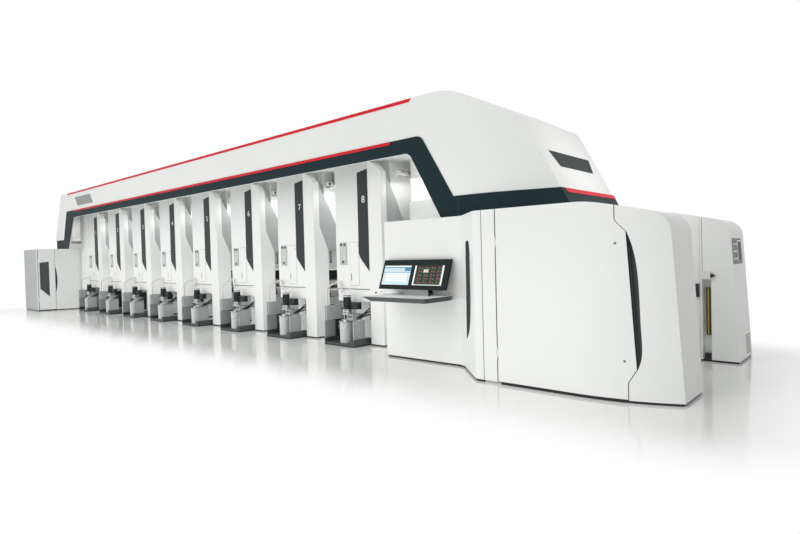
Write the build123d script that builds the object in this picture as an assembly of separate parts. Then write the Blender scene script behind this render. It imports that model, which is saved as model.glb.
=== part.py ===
from build123d import *
import math
import os

# Rotogravure printing press: eight printing units stand in a row between an unwinder at the
# left end and a rewinder at the right end. A drying header runs over the units, and a console
# stands beside the last of them. X runs along the machine, the operator stands at -Y, Z is up.

os.makedirs("parts", exist_ok=True)

# The row of printing units
unit_count = 8
unit_pitch = 2000
unit_depth = 1800
underside_height = 3600
plinth_height = 30
plinth_inset = 15

# Cabinet and front cover of one unit
cabinet_width = 950
cover_thickness = 25
cover_gap = 4
bay_height = 850
bay_depth = 520
cover_lift = 240
strip_recess = 12
strip_margin = 20

# White column at the right of each cabinet, its round shoulder and the sloping fin behind it
column_width = 350
column_depth = 380
column_front_depth = 150
column_slope_top = 2426
column_slope_bottom = 1893
column_round = 600
column_round_x = -140
column_round_drop = 600
fin_thickness = 30
fin_inset = 20
fin_foot_depth = 900
fin_foot_height = 1930
fin_knee_depth = 640
fin_knee_drop = 1150
fin_middle_depth = 450
fin_middle_drop = 760
fin_bend_depth = 285
fin_bend_drop = 480
fin_top_depth = 200
fin_top_drop = 300

# Dryer wall and print station between the two side frames of a unit
dryer_width = 250
dryer_bottom = 1480
side_frame_depth = 380
gravure_radius = 150
impression_radius = 80
gravure_height = 930
nip_gap = 2
journal_radius = 45
face_margin = 60
pan_bottom = 700
pan_depth = 165
pan_wall = 8
pan_front_margin = 20
blade_height = 1026
blade_holder_height = 1075
blade_holder_width = 45
blade_thickness = 3
blade_clearance = 0.4

# Guard door over the dryer wall, with its bar handle, and the dark liner of the print station
guard_thickness = 30
guard_margin = 25
guard_height = 900
guard_handle_depth = 70
guard_handle_bottom = 125
guard_handle_length = 260
guard_handle_radius = 12
guard_handle_reach = 45

# Guide rollers, their brackets and the printed web in the gaps between the units
aisle_width = unit_pitch - cabinet_width - column_width
web_roller_radius = 60
low_roller_offset = 140
low_roller_drop = 270
high_roller_offset = 470
high_roller_drop = 180
bracket_height = 90
bracket_thickness = 20
web_thickness = 2
web_clearance = 0.4
web_margin = 60

# Dark number stripe on each front cover
stripe_width = 285
stripe_top_below = 167
stripe_top_slant = 46
stripe_knee = 1750
stripe_knee_round = 250
stripe_tip = 1448
stripe_thickness = 6

# Small service door and button plate on each front cover
service_left = 548
service_width = 255
service_bottom = 1165
service_height = 862
plate_left = 842
plate_width = 207
plate_bottom = 1576
plate_height = 455
plate_thickness = 12

# Ink cart that stands in the bay of each unit
cart_left = 925
cart_width = 855
cart_front = 400
cart_depth = 700
tray_height = 55
sill_height = 140
sill_width = 110
screen_thickness = 25
screen_height = 770
screen_depth = 480
screen_fold = 140
screen_step = 480
side_panel_height = 500
side_panel_depth = 300
side_panel_inset = 30
handle_radius = 18
handle_bend = 38
handle_points = ((80, 1100), (200, 1180), (350, 1222))
handle_end = ((110, 350, 1245), (155, 350, 1010))
bucket_radius = 130
bucket_height = 420
bucket_taper = 5
bucket_rim = 15
bucket_x = 440
bucket_y = 190
pump_bottom = 500
pump_height = 235
pump_width = 330
pump_depth = 250
pump_overhang = 70
pump_front = 60
pump_low = 117
pump_pipes = ((-30, 0), (60, 0), (15, 90))
pump_plate_left = 75
pump_plate_right = 105
pump_plate_front = 50
pump_plate_back = 140
pump_plate_thickness = 25
riser_radius = 35
motor_radius = 70
motor_height = 215
motor_cap_height = 32
motor_cap_rim = 8
motor_x = 15
motor_y = 30
control_box_width = 200
control_box_height = 110
control_box_front = 20
pipe_radius = 14
pipe_spacing = 60
pipe_height = 660
pipe_low = 45
pipe_start = 40
pipe_run = 60
pipe_bend = 40
port_thickness = 20
port_height = 320
port_depth = 120

# Header over the units
header_overhang = 400
header_beam = 800
lip_drop = 120
lip_thickness = 60
header_reach_left = 350
header_right = 1500

# Dark band and red stripes on the header
band_rise = 255
band_thickness = 12
band_round = 180
band_left_round = 60
band_corner_x = 1700
band_foot_x = 2350
band_end_x = 2450
band_inner_corner_x = 1440
band_left_corner = 920
band_left_foot = 1340
band_left_inner = 200
red_thickness = 6
red_upper_height = 58
red_lower_height = 54
red_slant = 50
red_upper_left = 750
red_lower_left = 120
red_upper_right = 1507
red_lower_right = 1011

# Housings at floor level
housing_height = 2320

# Hood at the right end, which slopes down, bends in softly and ends in a raked face
hood_peak_x = 2288
hood_peak_round = 1200
hood_end_top_x = 3412
hood_end_top_drop = 605
hood_end_round = 350
hood_end_foot_x = 4200
hood_foot_x = 2100
hood_fold_top_x = 2233
hood_fold_foot_x = 2950
hood_fold_round = 2500
hood_taper = 325
hood_band_height = 345
end_red_height = 66
end_red_left = 400
end_red_right = 2280

# Bare label plates on the header and on the end of the hood
label_thickness = 5
end_label_left = 620
end_label_width = 1450
end_label_slant = 130
end_label_bottom = 3030
end_label_height = 250
front_label_left = 14950
front_label_width = 1500
front_label_slant = 300
front_label_bottom = 3865
front_label_height = 330

# Hood at the left end
left_hood_top_reach = 1520
left_hood_side_reach = 2340
left_hood_round = 60
left_hood_step = 160
left_hood_foot = 50
left_hood_rise = 350
hood_skin = 60

# Unwinder housing at the left end, and the infeed column beside it
infeed_width = 900
infeed_round = 150
unwind_run = 500
unwind_length = 1550
unwind_front = -1350
unwind_back_y = -50
unwind_depth = 2700
unwind_door_inset = 40
unwind_door_width = 560
unwind_chamber_depth = 700
window_margin = 60
window_width = 300
window_bottom = 830
window_point = 520
window_top = 1850
window_slant = 40
window_thickness = 12
infeed_roller_offset = 130
infeed_roller_rise = 240
infeed_roller_radius = 50

# Doors and their barrel hinges
door_thickness = 40
door_gap = 10
door_back_gap = 14
door_rebate = 50
hinge_gap = 16
hinge_low = 420
hinge_high = 1880
knuckle_radius = 7
knuckle_length = 80
knuckle_play = 6
lug_length = 34
relief = 6
pin_radius = 4
pin_length = 30
pin_clearance = 0.3
hinge_root = 6
hinge_strap = 10

# Grip recesses beside the doors
grip_depth = 45
unwind_grip_bottom = 660
unwind_grip_height = 1000
unwind_grip_width = 60
console_grip_points = ((330, 1905), (632, 1850), (655, 1600), (652, 1090), (600, 790), (270, 476))

# Outfeed cabinet behind the console
outfeed_left = 550
outfeed_front = 600
outfeed_step = 2770
outfeed_inset = 25
outfeed_gap = 20

# Console housing and the swept corner beside it
console_left = 1040
console_width = 1460
console_front = -650
console_depth = 1100
sweep_start = 2660
sweep_end = 3320
sweep_round = 300

# Console desk and display
desk_left = 1240
desk_width = 1305
desk_front = -1420
desk_back = -750
desk_top = 1100
desk_thickness = 70
desk_wall_inset = 100
desk_left_undercut = 180
desk_right_undercut = 90
display_left = 1130
display_width = 1390
display_bottom = 1190
display_height = 475
display_lean = 175
display_thickness = 60
display_offset = 35
display_arm_width = 500
display_arm_drop = 60
display_foot_depth = 120

# Rewinder housings at the right end
winder_left = 3450
winder_right = 5880
winder_front = -1300
winder_bow_start = 4750
winder_corner_y = -1025
winder_back = -290
winder_shoulder_x = 5763
winder_shoulder_height = 2120
winder_shoulder_round = 260
winder_slope_start = 4930
winder_slope_round = 1500
winder_wall = 60
hinge_post_width = 210
seam_width = 6
seam_depth = 15
seam_jog_x = 5225
seam_jog = 2080
seam_grip_top_x = 5346
seam_grip_top = 1942
seam_grip_foot_x = 5437
seam_grip_foot = 385
seam_foot_x = 5346
seam_foot = 231
seam_round = 70
winder_grip_floor = 160
winder_past = 100  # how far its plan is drawn past the raked end
winder_grip_points = ((5413, 1723), (5461, 1284), (5478, 783), (5467, 469))
frame_right = 4150

# Rear rewinder housing and the fittings in the reel bay
rear_depth = 906
niche_left = 5395
niche_width = 115
niche_depth = 120
niche_height = 1250
guide_width = 55
guide_bottom = 400
guide_top = 1130
switch_height = 130
switch_reach = 60
knob_radius = 30
lever_width = 45
lever_bottom = 985
lever_height = 205

# Places that follow from the sizes above
cover_bottom = bay_height + cover_lift
row_left = -(unit_count - 1) * unit_pitch - cabinet_width
header_depth = unit_depth + 2 * header_overhang
header_back = header_depth - header_overhang
header_top = underside_height + header_beam
lip_height = underside_height - lip_drop
band_top = lip_height + band_rise
header_left = row_left - header_reach_left
unwind_back_x = row_left - infeed_width
unwind_corner_x = unwind_back_x - unwind_run
unwind_left = unwind_corner_x - unwind_length
left_hood_top = row_left - left_hood_top_reach
left_hood_side = row_left - left_hood_side_reach
left_hood_inner = unwind_back_x + left_hood_foot
left_hood_eave = housing_height + left_hood_rise
band_eave = housing_height + hood_band_height
rear_front = unit_depth
rear_back = rear_front + rear_depth
console_right = console_left + console_width

# The origin is on the floor in the middle of the whole machine
origin_x = (unwind_left + winder_right) / 2
origin_y = (desk_front + rear_back) / 2


def rounded_face(points, rounds):
    """A flat face with the given corners, some of them rounded: rounds maps a corner to its radius."""
    face = make_face(Polyline(*points, close=True)).face()
    for index, radius in rounds.items():
        corner = face.vertices().sort_by_distance(Vector(*points[index]))[0]
        face = face.fillet_2d(radius, [corner])
    return face


def along_x(points, x_low, x_high, rounds={}):
    """A solid with the given (y, z) outline between two places along the machine."""
    face = rounded_face([(x_low, y, z) for y, z in points], rounds)
    return extrude(face, amount=x_high - x_low, dir=(1, 0, 0))


def along_y(points, y_low, y_high, rounds={}):
    """A solid with the given (x, z) outline between two depths."""
    face = rounded_face([(x, y_low, z) for x, z in points], rounds)
    return extrude(face, amount=y_high - y_low, dir=(0, 1, 0))


def along_z(points, z_low, z_high, rounds={}):
    """A solid with the given (x, y) plan between two heights."""
    face = rounded_face([(x, y, z_low) for x, y in points], rounds)
    return extrude(face, amount=z_high - z_low, dir=(0, 0, 1))


def block(x_low, x_high, y_low, y_high, z_low, z_high):
    """A plain block given by its faces."""
    plan = [(x_low, y_low), (x_high, y_low), (x_high, y_high), (x_low, y_high)]
    return along_z(plan, z_low, z_high)


def roller(x, z, radius, y_low, y_high):
    """A cylinder that lies across the machine."""
    start = Plane(origin=(x, y_low, z), z_dir=(0, 1, 0))
    return extrude(start * Circle(radius), amount=y_high - y_low)


def upright(x, y, radius, z_low, z_high):
    """A cylinder that stands upright."""
    return extrude(Plane.XY.offset(z_low) * Pos(x, y) * Circle(radius), amount=z_high - z_low)


def standing(points, height, rounds={}):
    """A housing with the given plan on a plinth that is set back all round."""
    plan = rounded_face([(x, y, 0) for x, y in points], rounds)
    plinth = extrude(offset(plan, amount=-plinth_inset), amount=plinth_height, dir=(0, 0, 1))
    body = Pos(0, 0, plinth_height) * extrude(plan, amount=height - plinth_height, dir=(0, 0, 1))
    return body + plinth


def unit_x(number):
    """The seam between the front cover and the column of a unit, counted from the left."""
    return (number - unit_count) * unit_pitch


def unit_cabinet(x):
    """Cabinet of one unit: an ink bay below in front, the dryer wall at its right side."""
    side = [
        (cover_thickness, bay_height),
        (bay_depth, bay_height),
        (bay_depth, 0),
        (unit_depth, 0),
        (unit_depth, underside_height),
        (cover_thickness, underside_height),
    ]
    cabinet = along_x(side, x - cabinet_width, x)
    far = unit_depth - side_frame_depth
    dryer = block(x, x + dryer_width, side_frame_depth, far, dryer_bottom, underside_height)
    return cabinet + dryer


def unit_column(x):
    """Operator and drive side columns of one unit; the front one is rounded over at its top."""
    side = [
        (0, 0),
        (column_depth, 0),
        (column_depth, column_slope_bottom),
        (column_front_depth, column_slope_top),
        (column_front_depth, underside_height),
        (0, underside_height),
    ]
    right = x + column_width
    front = along_x(side, x, right)
    foot = block(x - 1, right + 1, -1, plinth_inset, 0, plinth_height)
    foot += block(right - plinth_inset, right + 1, -1, column_depth + 1, 0, plinth_height)
    centre_z = underside_height - column_round_drop
    dome = roller(x + column_round_x, centre_z, column_round, -1, column_front_depth + 1)
    corner = block(x, right + 1, -1, column_front_depth + 1, centre_z, underside_height + 1)
    front -= foot
    front -= corner - dome
    rear = block(x, right, unit_depth - side_frame_depth, unit_depth, 0, underside_height)
    return [front, rear]


def column_fin(x):
    """Grey fin behind the front column, set in a little from the column's side."""
    right = x + column_width - fin_inset
    reach = math.sqrt(column_round**2 - (right - x - column_round_x) ** 2)
    side = [
        (column_front_depth, column_slope_top),
        (column_depth, column_slope_bottom),
        (fin_foot_depth, fin_foot_height),
        (fin_knee_depth, underside_height - fin_knee_drop),
        (fin_middle_depth, underside_height - fin_middle_drop),
        (fin_bend_depth, underside_height - fin_bend_drop),
        (fin_top_depth, underside_height - fin_top_drop),
        (column_front_depth, underside_height - column_round_drop + reach),
    ]
    return along_x(side, right - fin_thickness, right)


def front_cover(x):
    """Front cover of one unit with its service door, as two separate sheets."""
    cover = block(x - cabinet_width, x, 0, cover_thickness, cover_bottom, underside_height)
    left = x - service_left
    right = left + service_width
    top = service_bottom + service_height
    low = service_bottom - cover_gap
    hole = block(left - cover_gap, right + cover_gap, -1, cover_thickness + 1, low, top + cover_gap)
    door = block(left, right, 0, cover_thickness, service_bottom, top)
    strip_left = x - cabinet_width + strip_margin
    strip_right = x - strip_margin / 2
    strip = block(strip_left, strip_right, strip_recess, cover_thickness, bay_height, cover_bottom)
    return [cover - hole + strip, door]


def number_stripe(x):
    """Dark stripe at the right edge of a front cover, slanted above and pointed below."""
    top = underside_height - stripe_top_below
    outline = [
        (x, top),
        (x - stripe_width, top - stripe_top_slant),
        (x - stripe_width, stripe_knee),
        (x, stripe_tip),
    ]
    return along_y(outline, -stripe_thickness, 0, {2: stripe_knee_round})


def button_plate(x):
    """Plate with push buttons on a front cover."""
    left = x - plate_left
    return block(left, left + plate_width, -plate_thickness, 0, plate_bottom, plate_bottom + plate_height)


def print_rollers(x):
    """Gravure cylinder and impression roller between the side frames of a unit."""
    near = column_depth
    far = unit_depth - side_frame_depth
    centre = x + column_width / 2
    upper = gravure_height + gravure_radius + impression_radius + nip_gap
    pair = []
    for height, radius in ((gravure_height, gravure_radius), (upper, impression_radius)):
        barrel = roller(centre, height, radius, near + face_margin, far - face_margin)
        pair.append(barrel + roller(centre, height, journal_radius, near, far))
    return pair


def ink_pan(x):
    """Open trough under the gravure cylinder, which dips into it."""
    near = column_depth
    far = unit_depth - side_frame_depth
    right = x + column_width - pan_front_margin
    top = pan_bottom + pan_depth
    trough = block(x, right, near, far, pan_bottom, top)
    return trough - block(
        x + pan_wall, right - pan_wall, near + pan_wall, far - pan_wall, pan_bottom + pan_wall, top + 1
    )


def doctor_blade(x):
    """Blade on its holder, which wipes the gravure cylinder just above its middle."""
    drop = blade_height - gravure_height
    touch = x + column_width / 2 - math.sqrt((gravure_radius + blade_clearance) ** 2 - drop**2)
    outline = [
        (x, blade_holder_height),
        (x, blade_holder_height - blade_holder_width),
        (touch - blade_thickness, blade_height),
        (touch, blade_height),
        (x + blade_holder_width, blade_holder_height),
    ]
    near = column_depth + face_margin
    return along_y(outline, near, unit_depth - side_frame_depth - face_margin)


def guard_door(x):
    """Grey guard in front of the dryer wall, with a bar handle near the operator."""
    near = side_frame_depth + guard_margin
    far = unit_depth - side_frame_depth - guard_margin
    wall = x + dryer_width
    face = wall + guard_thickness
    guard = block(wall, face, near, far, dryer_bottom, dryer_bottom + guard_height)
    low = dryer_bottom + guard_handle_bottom
    high = low + guard_handle_length
    y = near + guard_handle_depth
    bar = upright(face + guard_handle_reach, y, guard_handle_radius, low, high)
    for z in (low + 2 * guard_handle_radius, high - 2 * guard_handle_radius):
        start = Plane(origin=(face, y, z), z_dir=(1, 0, 0))
        bar += extrude(start * Circle(guard_handle_radius - 2), amount=guard_handle_reach)
    return guard + bar


def cart_origin(x):
    """Left front corner of the ink cart of a unit."""
    return x - cart_left, -cart_front


def cart_frame(x):
    """Base of an ink cart with its sill, the folded screen at the left and the low right panel."""
    left, front = cart_origin(x)
    right = left + cart_width
    frame = block(left, right, front, front + cart_depth, 0, tray_height)
    frame += block(right - sill_width, right, front, front + screen_depth, 0, sill_height)
    screen = [
        (left, front),
        (left + screen_thickness, front),
        (left + screen_thickness, front + screen_depth - screen_thickness),
        (left + screen_fold, front + screen_depth - screen_thickness),
        (left + screen_fold, front + screen_depth),
        (left, front + screen_depth),
    ]
    frame += along_z(screen, 0, screen_height)
    frame += block(
        left + screen_thickness, left + 2 * screen_thickness, front + screen_thickness,
        front + screen_depth - screen_thickness, screen_step, screen_height - screen_thickness
    )
    panel_right = right - side_panel_inset
    frame += block(
        panel_right - screen_thickness, panel_right, front + side_panel_inset,
        front + side_panel_inset + side_panel_depth, sill_height, side_panel_height
    )
    return frame


def cart_handle(x):
    """Bow handle that rises from the screen of an ink cart and hooks down at its far end."""
    left, front = cart_origin(x)
    near_x = left + screen_thickness / 2
    places = [(near_x, front + handle_points[0][0], screen_height)]
    places += [(near_x, front + depth, height) for depth, height in handle_points]
    places += [(near_x + run, front + depth, height) for run, depth, height in handle_end]
    bow = FilletPolyline(*places, radius=handle_bend)
    start = Plane(origin=bow @ 0, z_dir=bow % 0)
    return sweep(start * Circle(handle_radius), path=bow)


def ink_bucket(x):
    """Ink bucket that widens upwards to a rolled rim, closed by its lid."""
    left, front = cart_origin(x)
    place_x = left + bucket_x
    place_y = front + bucket_y
    top = tray_height + bucket_height
    outline = [
        (0, tray_height),
        (bucket_radius - bucket_taper, tray_height),
        (bucket_radius, top - bucket_rim),
        (bucket_radius + bucket_rim, top - bucket_rim),
        (bucket_radius + bucket_rim, top),
        (0, top),
    ]
    face = make_face(Polyline(*[(r, 0, z) for r, z in outline], close=True))
    return Pos(place_x, place_y, 0) * revolve(face, axis=Axis.Z)


def ink_pump(x):
    """Pump over the bucket: its riser pipes, body, control box and motor."""
    left, front = cart_origin(x)
    place_x = left + bucket_x
    place_y = front + bucket_y
    body_left = place_x - pump_overhang
    body_front = place_y - pump_front
    body_top = pump_bottom + pump_height
    pipe_foot = pump_bottom + pump_low
    plate_foot = body_top - pump_plate_thickness
    plate_right = place_x + pump_plate_right
    plate_back = place_y + pump_plate_back
    pump = upright(place_x, place_y, riser_radius, tray_height + bucket_height, pump_bottom)
    pump += block(
        body_left, body_left + pump_width, body_front, body_front + pump_depth, pump_bottom, pipe_foot
    )
    for pipe_x, pipe_y in pump_pipes:
        pump += upright(place_x + pipe_x, place_y + pipe_y, riser_radius, pipe_foot, body_top)
    pump += block(
        place_x - pump_plate_left, plate_right, place_y - pump_plate_front, plate_back, plate_foot, body_top
    )
    cap_foot = body_top + motor_height
    cap_radius = motor_radius + motor_cap_rim
    pump += upright(place_x + motor_x, place_y + motor_y, motor_radius, body_top, cap_foot)
    pump += upright(place_x + motor_x, place_y + motor_y, cap_radius, cap_foot, cap_foot + motor_cap_height)
    pump += block(
        plate_right, plate_right + control_box_width, place_y + control_box_front, plate_back,
        plate_foot, body_top + control_box_height
    )
    return pump


def ink_pipes(x):
    """Three formed pipes from the pump to the dark port plate on the unit's cabinet."""
    left, front = cart_origin(x)
    start_x = left + bucket_x - pump_overhang + pump_width
    port = x - port_thickness
    port_y = port_depth / 2
    low = pipe_height - port_height / 2
    pieces = block(port, x, 0, port_depth, low, low + port_height)
    for index in range(3):
        z = pipe_height + (index - 1) * pipe_spacing
        y = front + bucket_y + pipe_start + index * pipe_spacing
        start_z = pump_bottom + pipe_low + index * 2 * pipe_radius
        places = [
            (start_x, y, start_z),
            (start_x + pipe_run, y, start_z),
            (port - pipe_run, port_y, z),
            (port, port_y, z),
        ]
        line = FilletPolyline(*places, radius=pipe_bend)
        start = Plane(origin=line @ 0, z_dir=line % 0)
        pieces += sweep(start * Circle(pipe_radius), path=line)
    return pieces


def header_shell():
    """Drying header over the units: a beam whose front and rear skins hang down as lips."""
    front = -header_overhang
    side = [
        (front, lip_height),
        (front + lip_thickness, lip_height),
        (front + lip_thickness, underside_height),
        (header_back - lip_thickness, underside_height),
        (header_back - lip_thickness, lip_height),
        (header_back, lip_height),
        (header_back, header_top),
        (front, header_top),
    ]
    return along_x(side, header_left, header_right)


def left_hood():
    """End of the header that comes down onto the unwinder, leaning outwards."""
    step_x = left_hood_side + left_hood_step
    outline = [
        (header_left, header_top),
        (left_hood_top, header_top),
        (left_hood_side, left_hood_eave),
        (step_x, left_hood_eave),
        (step_x, housing_height),
        (left_hood_inner, housing_height),
        (header_left, lip_height),
    ]
    skin = hood_skin
    hollow = [
        (header_left + 1, header_top - skin),
        (left_hood_top + skin, header_top - skin),
        (left_hood_side + skin, left_hood_eave + skin),
        (step_x + skin, left_hood_eave + skin),
        (step_x + skin, housing_height - 1),
        (header_left + 1, housing_height - 1),
    ]
    shell = along_y(outline, -header_overhang, header_back, {1: left_hood_round})
    return shell - along_y(hollow, skin - header_overhang, header_back - skin)


def hood_bend(side, edge):
    """The space outside one long face of the right hood, which bends in along a slanting fold."""
    top = Vector(hood_fold_top_x, 0, header_top)
    foot = Vector(hood_fold_foot_x, 0, band_eave)
    down = (foot - top).normalized()
    across = Vector(-down.Z, 0, down.X)
    end_x = hood_end_foot_x - (hood_end_foot_x - hood_end_top_x) * hood_band_height / (
        header_top - hood_end_top_drop - housing_height
    )
    reach = (Vector(end_x, 0, band_eave) - top).dot(across)
    angle = math.atan2(hood_taper, reach)
    tangent = hood_fold_round * math.tan(angle / 2)
    start = top - down * unit_pitch

    def place(along, inwards):
        return start + across * along + Vector(0, edge - side * inwards, 0)

    half = angle / 2
    middle = place(-tangent + hood_fold_round * math.sin(half), hood_fold_round * (1 - math.cos(half)))
    bend_end = place(tangent * math.cos(angle), tangent * math.sin(angle))
    far = 3 * reach  # well past the end of the hood
    far_end = place(far, far * math.tan(angle))
    outline = [
        ThreePointArc(place(-tangent, 0), middle, bend_end),
        Line(bend_end, far_end),
        Line(far_end, place(far, -unit_depth)),
        Line(place(far, -unit_depth), place(-tangent, -unit_depth)),
        Line(place(-tangent, -unit_depth), place(-tangent, 0)),
    ]
    return extrude(make_face(Wire(outline)), amount=unit_pitch + 2 * header_top, dir=down)


def right_hood(grow):
    """Hood over the rewinder. Its faces are moved outwards by grow."""
    outline = [
        (header_right, header_top + grow),
        (hood_peak_x, header_top + grow),
        (hood_end_top_x + grow, header_top - hood_end_top_drop + grow),
        (hood_end_foot_x + grow, housing_height),
        (hood_foot_x, housing_height),
        (header_right, lip_height),
    ]
    front = -header_overhang - grow
    back = header_back + grow
    body = along_y(outline, front, back, {1: hood_peak_round, 2: hood_end_round})
    return body - hood_bend(-1, front) - hood_bend(1, back)


def header_band():
    """Dark band along the header with its two legs, on the front and on the rear face."""
    step_x = left_hood_side + left_hood_step
    eave = left_hood_eave - left_hood_rise + hood_band_height
    outline = [
        (step_x, housing_height),
        (step_x, eave),
        (row_left - band_left_foot, eave),
        (row_left - band_left_corner, band_top),
        (band_corner_x, band_top),
        (band_foot_x, band_eave),
        (band_end_x, band_eave),
        (band_end_x, housing_height),
        (hood_foot_x, housing_height),
        (band_inner_corner_x, lip_height),
        (row_left - band_left_inner, lip_height),
        (left_hood_inner, housing_height),
    ]
    rounds = {3: band_left_round, 4: band_round, 9: band_round}
    front = along_y(outline, -header_overhang - band_thickness, -header_overhang, rounds)
    back = along_y(outline, header_back, header_back + band_thickness, rounds)
    return [front, back]


def hood_ring(inner, outer, space):
    """The part of a skin round the right hood, between two distances from it, that lies in a space."""
    return (right_hood(outer) - right_hood(inner)) & space


def hood_band():
    """Dark band round the lower edge of the right hood, up to where the header's band ends."""
    near = -header_overhang - 2 * hood_skin
    far = header_back + 2 * hood_skin
    right = hood_end_foot_x + 2 * hood_skin
    space = block(band_end_x, right, near, far, housing_height, band_eave)
    return hood_ring(0, band_thickness, space)


def header_stripes():
    """Red stripes along the top edge and above the dark band, and one on the end of the hood."""
    red_top_left = row_left - red_upper_left
    upper = [
        (red_top_left - red_slant, header_top - red_upper_height),
        (red_top_left, header_top),
        (red_upper_right, header_top),
        (red_upper_right - red_slant, header_top - red_upper_height),
    ]
    lower_left = row_left - red_lower_left
    lower = [
        (lower_left - red_slant, band_top - red_lower_height),
        (lower_left, band_top),
        (red_lower_right, band_top),
        (red_lower_right - red_slant / 2, band_top - red_lower_height),
    ]
    front = -header_overhang
    stripes = []
    for outline, skin in ((upper, 0), (lower, band_thickness)):
        stripes.append(along_y(outline, front - skin - red_thickness, front - skin))
        stripes.append(along_y(outline, header_back + skin, header_back + skin + red_thickness))
    end = [
        (front + end_red_left, band_eave),
        (front + end_red_left + end_red_height, band_eave - end_red_height),
        (front + end_red_right, band_eave - end_red_height),
        (front + end_red_right, band_eave),
    ]
    space = along_x(end, hood_end_top_x, hood_end_foot_x + 2 * hood_skin)
    stripes.append(hood_ring(band_thickness, band_thickness + red_thickness, space))
    return stripes


def label_plates():
    """Bare plates for a label: a dark one on the end of the hood, a grey one at the left."""
    left = end_label_left - header_overhang
    right = left + end_label_width
    top = end_label_bottom + end_label_height
    end = [
        (left, top),
        (left + end_label_slant, end_label_bottom),
        (right - end_label_slant, end_label_bottom),
        (right, top),
    ]
    space = along_x(end, hood_end_top_x, hood_end_foot_x)
    low = front_label_bottom
    high = low + front_label_height
    outline = [
        (-front_label_left, high),
        (front_label_slant - front_label_left, low),
        (front_label_slant - front_label_left + front_label_width, low),
        (front_label_width - front_label_left, high),
    ]
    front = -header_overhang
    return [hood_ring(0, label_thickness, space), along_y(outline, front - label_thickness, front)]


def hinge_knuckles(x, y):
    """Leaf side of the barrel hinges in a door's own frame: knuckles, their roots and the pins."""
    half = knuckle_length / 2
    reach = half + knuckle_play + pin_length
    parts = None
    for z in (hinge_low, hinge_high):
        knuckle = upright(x, y, knuckle_radius, z - half, z + half)
        knuckle += upright(x, y, pin_radius, z - reach, z + reach)
        root = hinge_gap / 2 + hinge_root
        knuckle += block(x, x + root, y, y + hinge_strap, z - half, z + half)
        parts = knuckle if parts is None else parts + knuckle
    return parts


def hinge_lugs(x, y):
    """Fixed side of the barrel hinges: lugs above and below each knuckle, bored for the pin."""
    parts = None
    for z in (hinge_low, hinge_high):
        for way in (-1, 1):
            near = z + way * (knuckle_length / 2 + knuckle_play)
            low = min(near, near + way * lug_length)
            high = low + lug_length
            lug = upright(x, y, knuckle_radius, low, high)
            root = hinge_gap / 2 + hinge_root
            lug += block(x - root, x, y, y + hinge_strap, low, high)
            lug -= upright(x, y, pin_radius + pin_clearance, low - 1, high + 1)
            parts = lug if parts is None else parts + lug
    return parts


def hinge_space(x, y, leaf):
    """Room round the knuckles, to cut from the fixed side, or round the lugs, to cut from the leaf."""
    parts = None
    half = knuckle_length / 2 + relief
    outer = knuckle_length / 2 + knuckle_play + lug_length + relief
    for z in (hinge_low, hinge_high):
        room = upright(x, y, knuckle_radius + relief, z - outer, z + outer)
        if leaf:
            room -= upright(x, y, knuckle_radius + 2 * relief, z - half + relief, z + half - relief)
        parts = room if parts is None else parts + room
    return parts


def unwind_face():
    """Place of the unwinder's side face: its front corner and its direction towards the units."""
    corner = Vector(unwind_corner_x, unwind_front, 0)
    far = Vector(unwind_back_x, unwind_back_y, 0)
    return Plane(origin=corner, x_dir=(far - corner), z_dir=(0, 0, 1))


def unwind_grip():
    """Recess for the hand at the free edge of the unwinder door, in the frame of its face."""
    left = unwind_door_inset + unwind_door_width
    middle = unwind_grip_bottom + unwind_grip_height / 2
    top = unwind_grip_bottom + unwind_grip_height
    edge = Line((left, 0, unwind_grip_bottom), (left, 0, top))
    bow = ThreePointArc((left, 0, top), (left + unwind_grip_width, 0, middle), (left, 0, unwind_grip_bottom))
    return extrude(make_face(Wire([edge, bow])), amount=grip_depth, dir=(0, 1, 0))


def unwind_hinge():
    """Axis of the unwinder door's hinges in the frame of its face."""
    return unwind_door_inset + hinge_gap / 2, 0


def unwind_housing():
    """Unwinder housing at the left end, with a door in the face beside the units."""
    plan = [
        (unwind_left, unwind_front),
        (unwind_corner_x, unwind_front),
        (unwind_back_x, unwind_back_y),
        (unwind_back_x, unwind_back_y + unwind_depth),
        (unwind_left, unwind_back_y + unwind_depth),
    ]
    body = standing(plan, housing_height)
    frame = unwind_face()
    left = unwind_door_inset
    right = left + unwind_door_width
    recess = block(left, right, -1, door_thickness + door_back_gap, plinth_height, housing_height + 1)
    chamber = block(
        left + door_rebate, right - door_rebate, 0, unwind_chamber_depth,
        plinth_height + door_rebate, housing_height - door_rebate
    )
    x, y = unwind_hinge()
    body -= frame * (recess + chamber)
    body -= frame * unwind_grip()
    body -= frame * hinge_space(x, y, False)
    return body + frame * hinge_lugs(x, y)


def unwind_window_outline():
    """Outline of the window in the unwinder door, in the plane of the door."""
    left = unwind_door_inset + window_margin
    right = left + window_width
    return [
        (left, window_bottom),
        (right, window_point),
        (right, window_top),
        (left, window_top - window_slant),
    ]


def in_unwind_face(points, depth_low, depth_high):
    """A solid with an outline in the unwinder's side face, between two depths behind it."""
    return unwind_face() * along_y(points, depth_low, depth_high)


def unwind_door():
    """Hinged door of the unwinder with its slanted window."""
    left = unwind_door_inset + hinge_gap
    right = unwind_door_inset + unwind_door_width - door_gap
    low = plinth_height + door_gap
    x, y = unwind_hinge()
    leaf = block(left, right, 0, door_thickness, low, housing_height)
    leaf -= hinge_space(x, y, True)
    leaf += hinge_knuckles(x, y)
    return unwind_face() * leaf - in_unwind_face(unwind_window_outline(), -1, door_thickness + 1)


def unwind_window():
    """Dark pane in the unwinder door."""
    middle = (door_thickness - window_thickness) / 2
    return in_unwind_face(unwind_window_outline(), middle, middle + window_thickness)


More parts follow.
